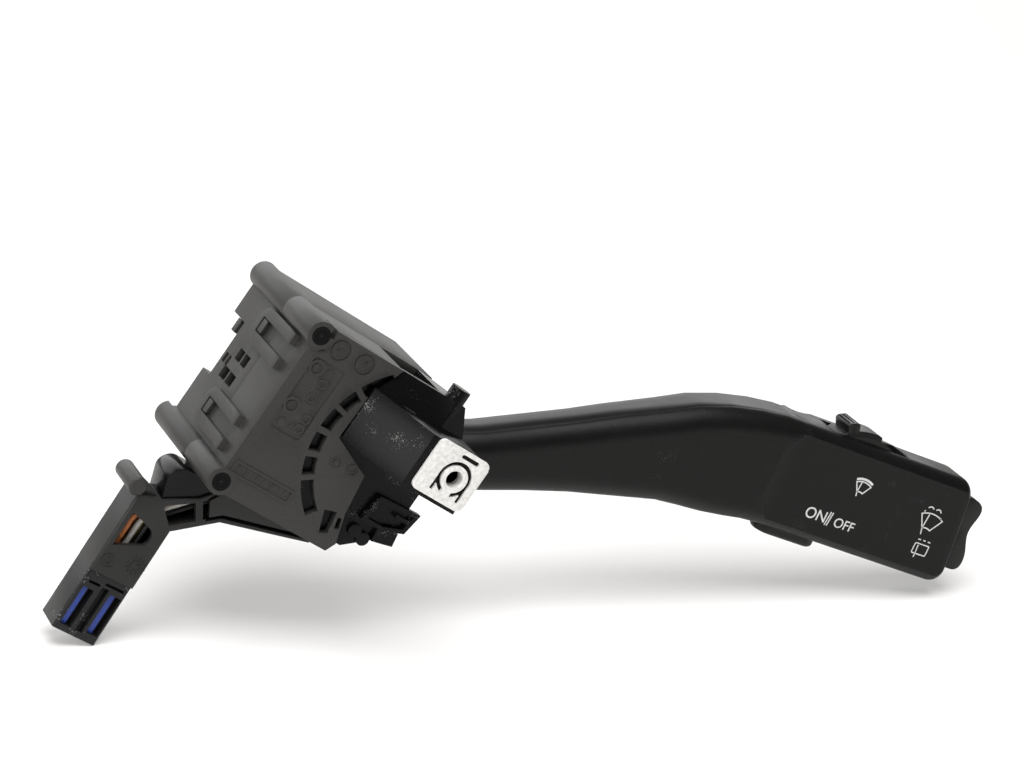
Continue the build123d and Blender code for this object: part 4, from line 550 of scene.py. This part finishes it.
def wheel_rim():
    """Part of a thick ring round the axle.  The section runs from (-RIM_HALF, RIM_R - RIM_DEEP) up,
    over two quarter rounds of RIM_ROUND, and down again; it turns from RIM_FROM to RIM_TO."""
    arcs = np.radians(np.r_[np.linspace(180, 90, ROUND_STEPS), np.linspace(90, 0, ROUND_STEPS)])
    middles = np.repeat([RIM_ROUND - RIM_HALF, RIM_HALF - RIM_ROUND], ROUND_STEPS)
    across = np.r_[-RIM_HALF, middles + RIM_ROUND * np.cos(arcs), RIM_HALF]
    low = RIM_R - RIM_DEEP
    reach = np.r_[low, RIM_R - RIM_ROUND + RIM_ROUND * np.sin(arcs), low]
    turns = np.radians(np.linspace(RIM_FROM, RIM_TO, RIM_STEPS))[:, None]
    spots = np.stack([reach * np.cos(turns), across + 0 * turns, reach * np.sin(turns)], -1) / 1000
    spots = (axle_middle + spots).reshape(-1, 3)
    count = len(reach)
    i, j = np.meshgrid(np.arange(RIM_STEPS - 1) * count, np.arange(count), indexing="ij")
    k = (j + 1) % count
    faces = np.stack([i + j, i + k, i + count + k, i + count + j], -1).reshape(-1, 4).tolist()
    faces.append(tuple(range(count))[::-1])
    faces.append(tuple(range((RIM_STEPS - 1) * count, RIM_STEPS * count)))
    mesh = bpy.data.meshes.new("wheel_rim")
    mesh.from_pydata(spots.tolist(), [], faces)
    mesh.shade_smooth()
    mesh.materials.append(button_satin)
    rim = bpy.data.objects.new("wheel_rim", mesh)
    bpy.context.collection.objects.link(rim)
    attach(rim, "wheel")
    return rim


wheel_rim()
dress("wheel_axle", pin_steel, 0.0)
dress("wheel_brush", contact_brass, 0.0)
dress("head_board", board_green, 0.05)
dress("tact_switches", grained("switch_black", (0.02, 0.02, 0.02), 0.4), 0.1)

# ------------------------------------------------------------------ tip rocker and reset button
# Black buttons with large soft edges, moulded with the same grain as the wheel.
dress("rocker_button", button_satin, 0.8)
dress("rocker_pin", pin_steel, 0.0)
dress("reset_button", button_satin, 0.4)

# ------------------------------------------------------------------ cable duct, hood and latch leaf
# Black duct clipped under the body, with a glossier hood over its elbow and a grey latch grip.
duct_black = grained("duct_black", (0.014, 0.0137, 0.0134), 0.42, 0.4, 0.3, 0.25, 0.26)
dress("cable_duct", duct_black, 0.25)
dress("duct_hood", grained("hood_black", (0.004, 0.004, 0.0041), 0.22, 0.5, 0.3, 0.10, 0.14), 0.3)
# two raised mould marks on the arm: an open coil, and a dial with ticks and a hand
ARM_FACE_Y = -0.010
COIL_X, COIL_Z = -5.67, -52.1
DIAL_X, DIAL_Z = 1.05, -50.2
arm_marks = [ring(COIL_X, COIL_Z, 1.7, 30, 330, 20), ring(COIL_X, COIL_Z, 0.8, 200, 500, 16),
             ring(DIAL_X, DIAL_Z, 1.25, steps=20)]
for turn in range(0, 360, 30):
    arm_marks.append([(DIAL_X + reach * cos(radians(turn)), DIAL_Z + reach * sin(radians(turn)))
                      for reach in (1.7, 2.5)])
arm_marks.append([(DIAL_X, DIAL_Z), (DIAL_X + 0.85, DIAL_Z + 0.9)])
raised_lines("arm_marks", arm_marks, 0.30, 0.14, ARM_FACE_Y, duct_black, "housing")
dress("latch_leaf", grained("leaf_grey", (0.024, 0.023, 0.022), 0.48, 0.4, 0.25, 0.2, 0.3), 0.2)

# ------------------------------------------------------------------ plug with its lock
# Black plug housing with six tin-plated terminals and two blue lock bars in its slots.
dress("plug_housing", specked(grained("plug_black", (0.0075, 0.0075, 0.0078), 0.36, 0.3, 0.3, 0.25, 0.24),
                              (0.12, 0.12, 0.12), 0.5, 0.60), 0.2)
dress("plug_lock", grained("lock_blue", (0.012, 0.045, 0.30), 0.5, 0.3, 0.2, 0.2), 0.1)
dress("plug_terminals", contact_brass, 0.0)

# ------------------------------------------------------------------ terminal block and wires
# Six insulated leads run from the block through the duct to the plug.
dress("terminal_block", grained("block_black", (0.012, 0.012, 0.012), 0.4), 0.15)
for shade, colour in (("orange", (0.62, 0.20, 0.05)), ("white", (0.70, 0.69, 0.66)),
                      ("black", (0.012, 0.012, 0.012)), ("teal", (0.04, 0.22, 0.22)),
                      ("brown", (0.24, 0.11, 0.05)), ("yellow", (0.70, 0.50, 0.10))):
    dress("wire_" + shade, grained("lead_" + shade, colour, 0.45, 0.8, 0.06, 0.08), 0.0)
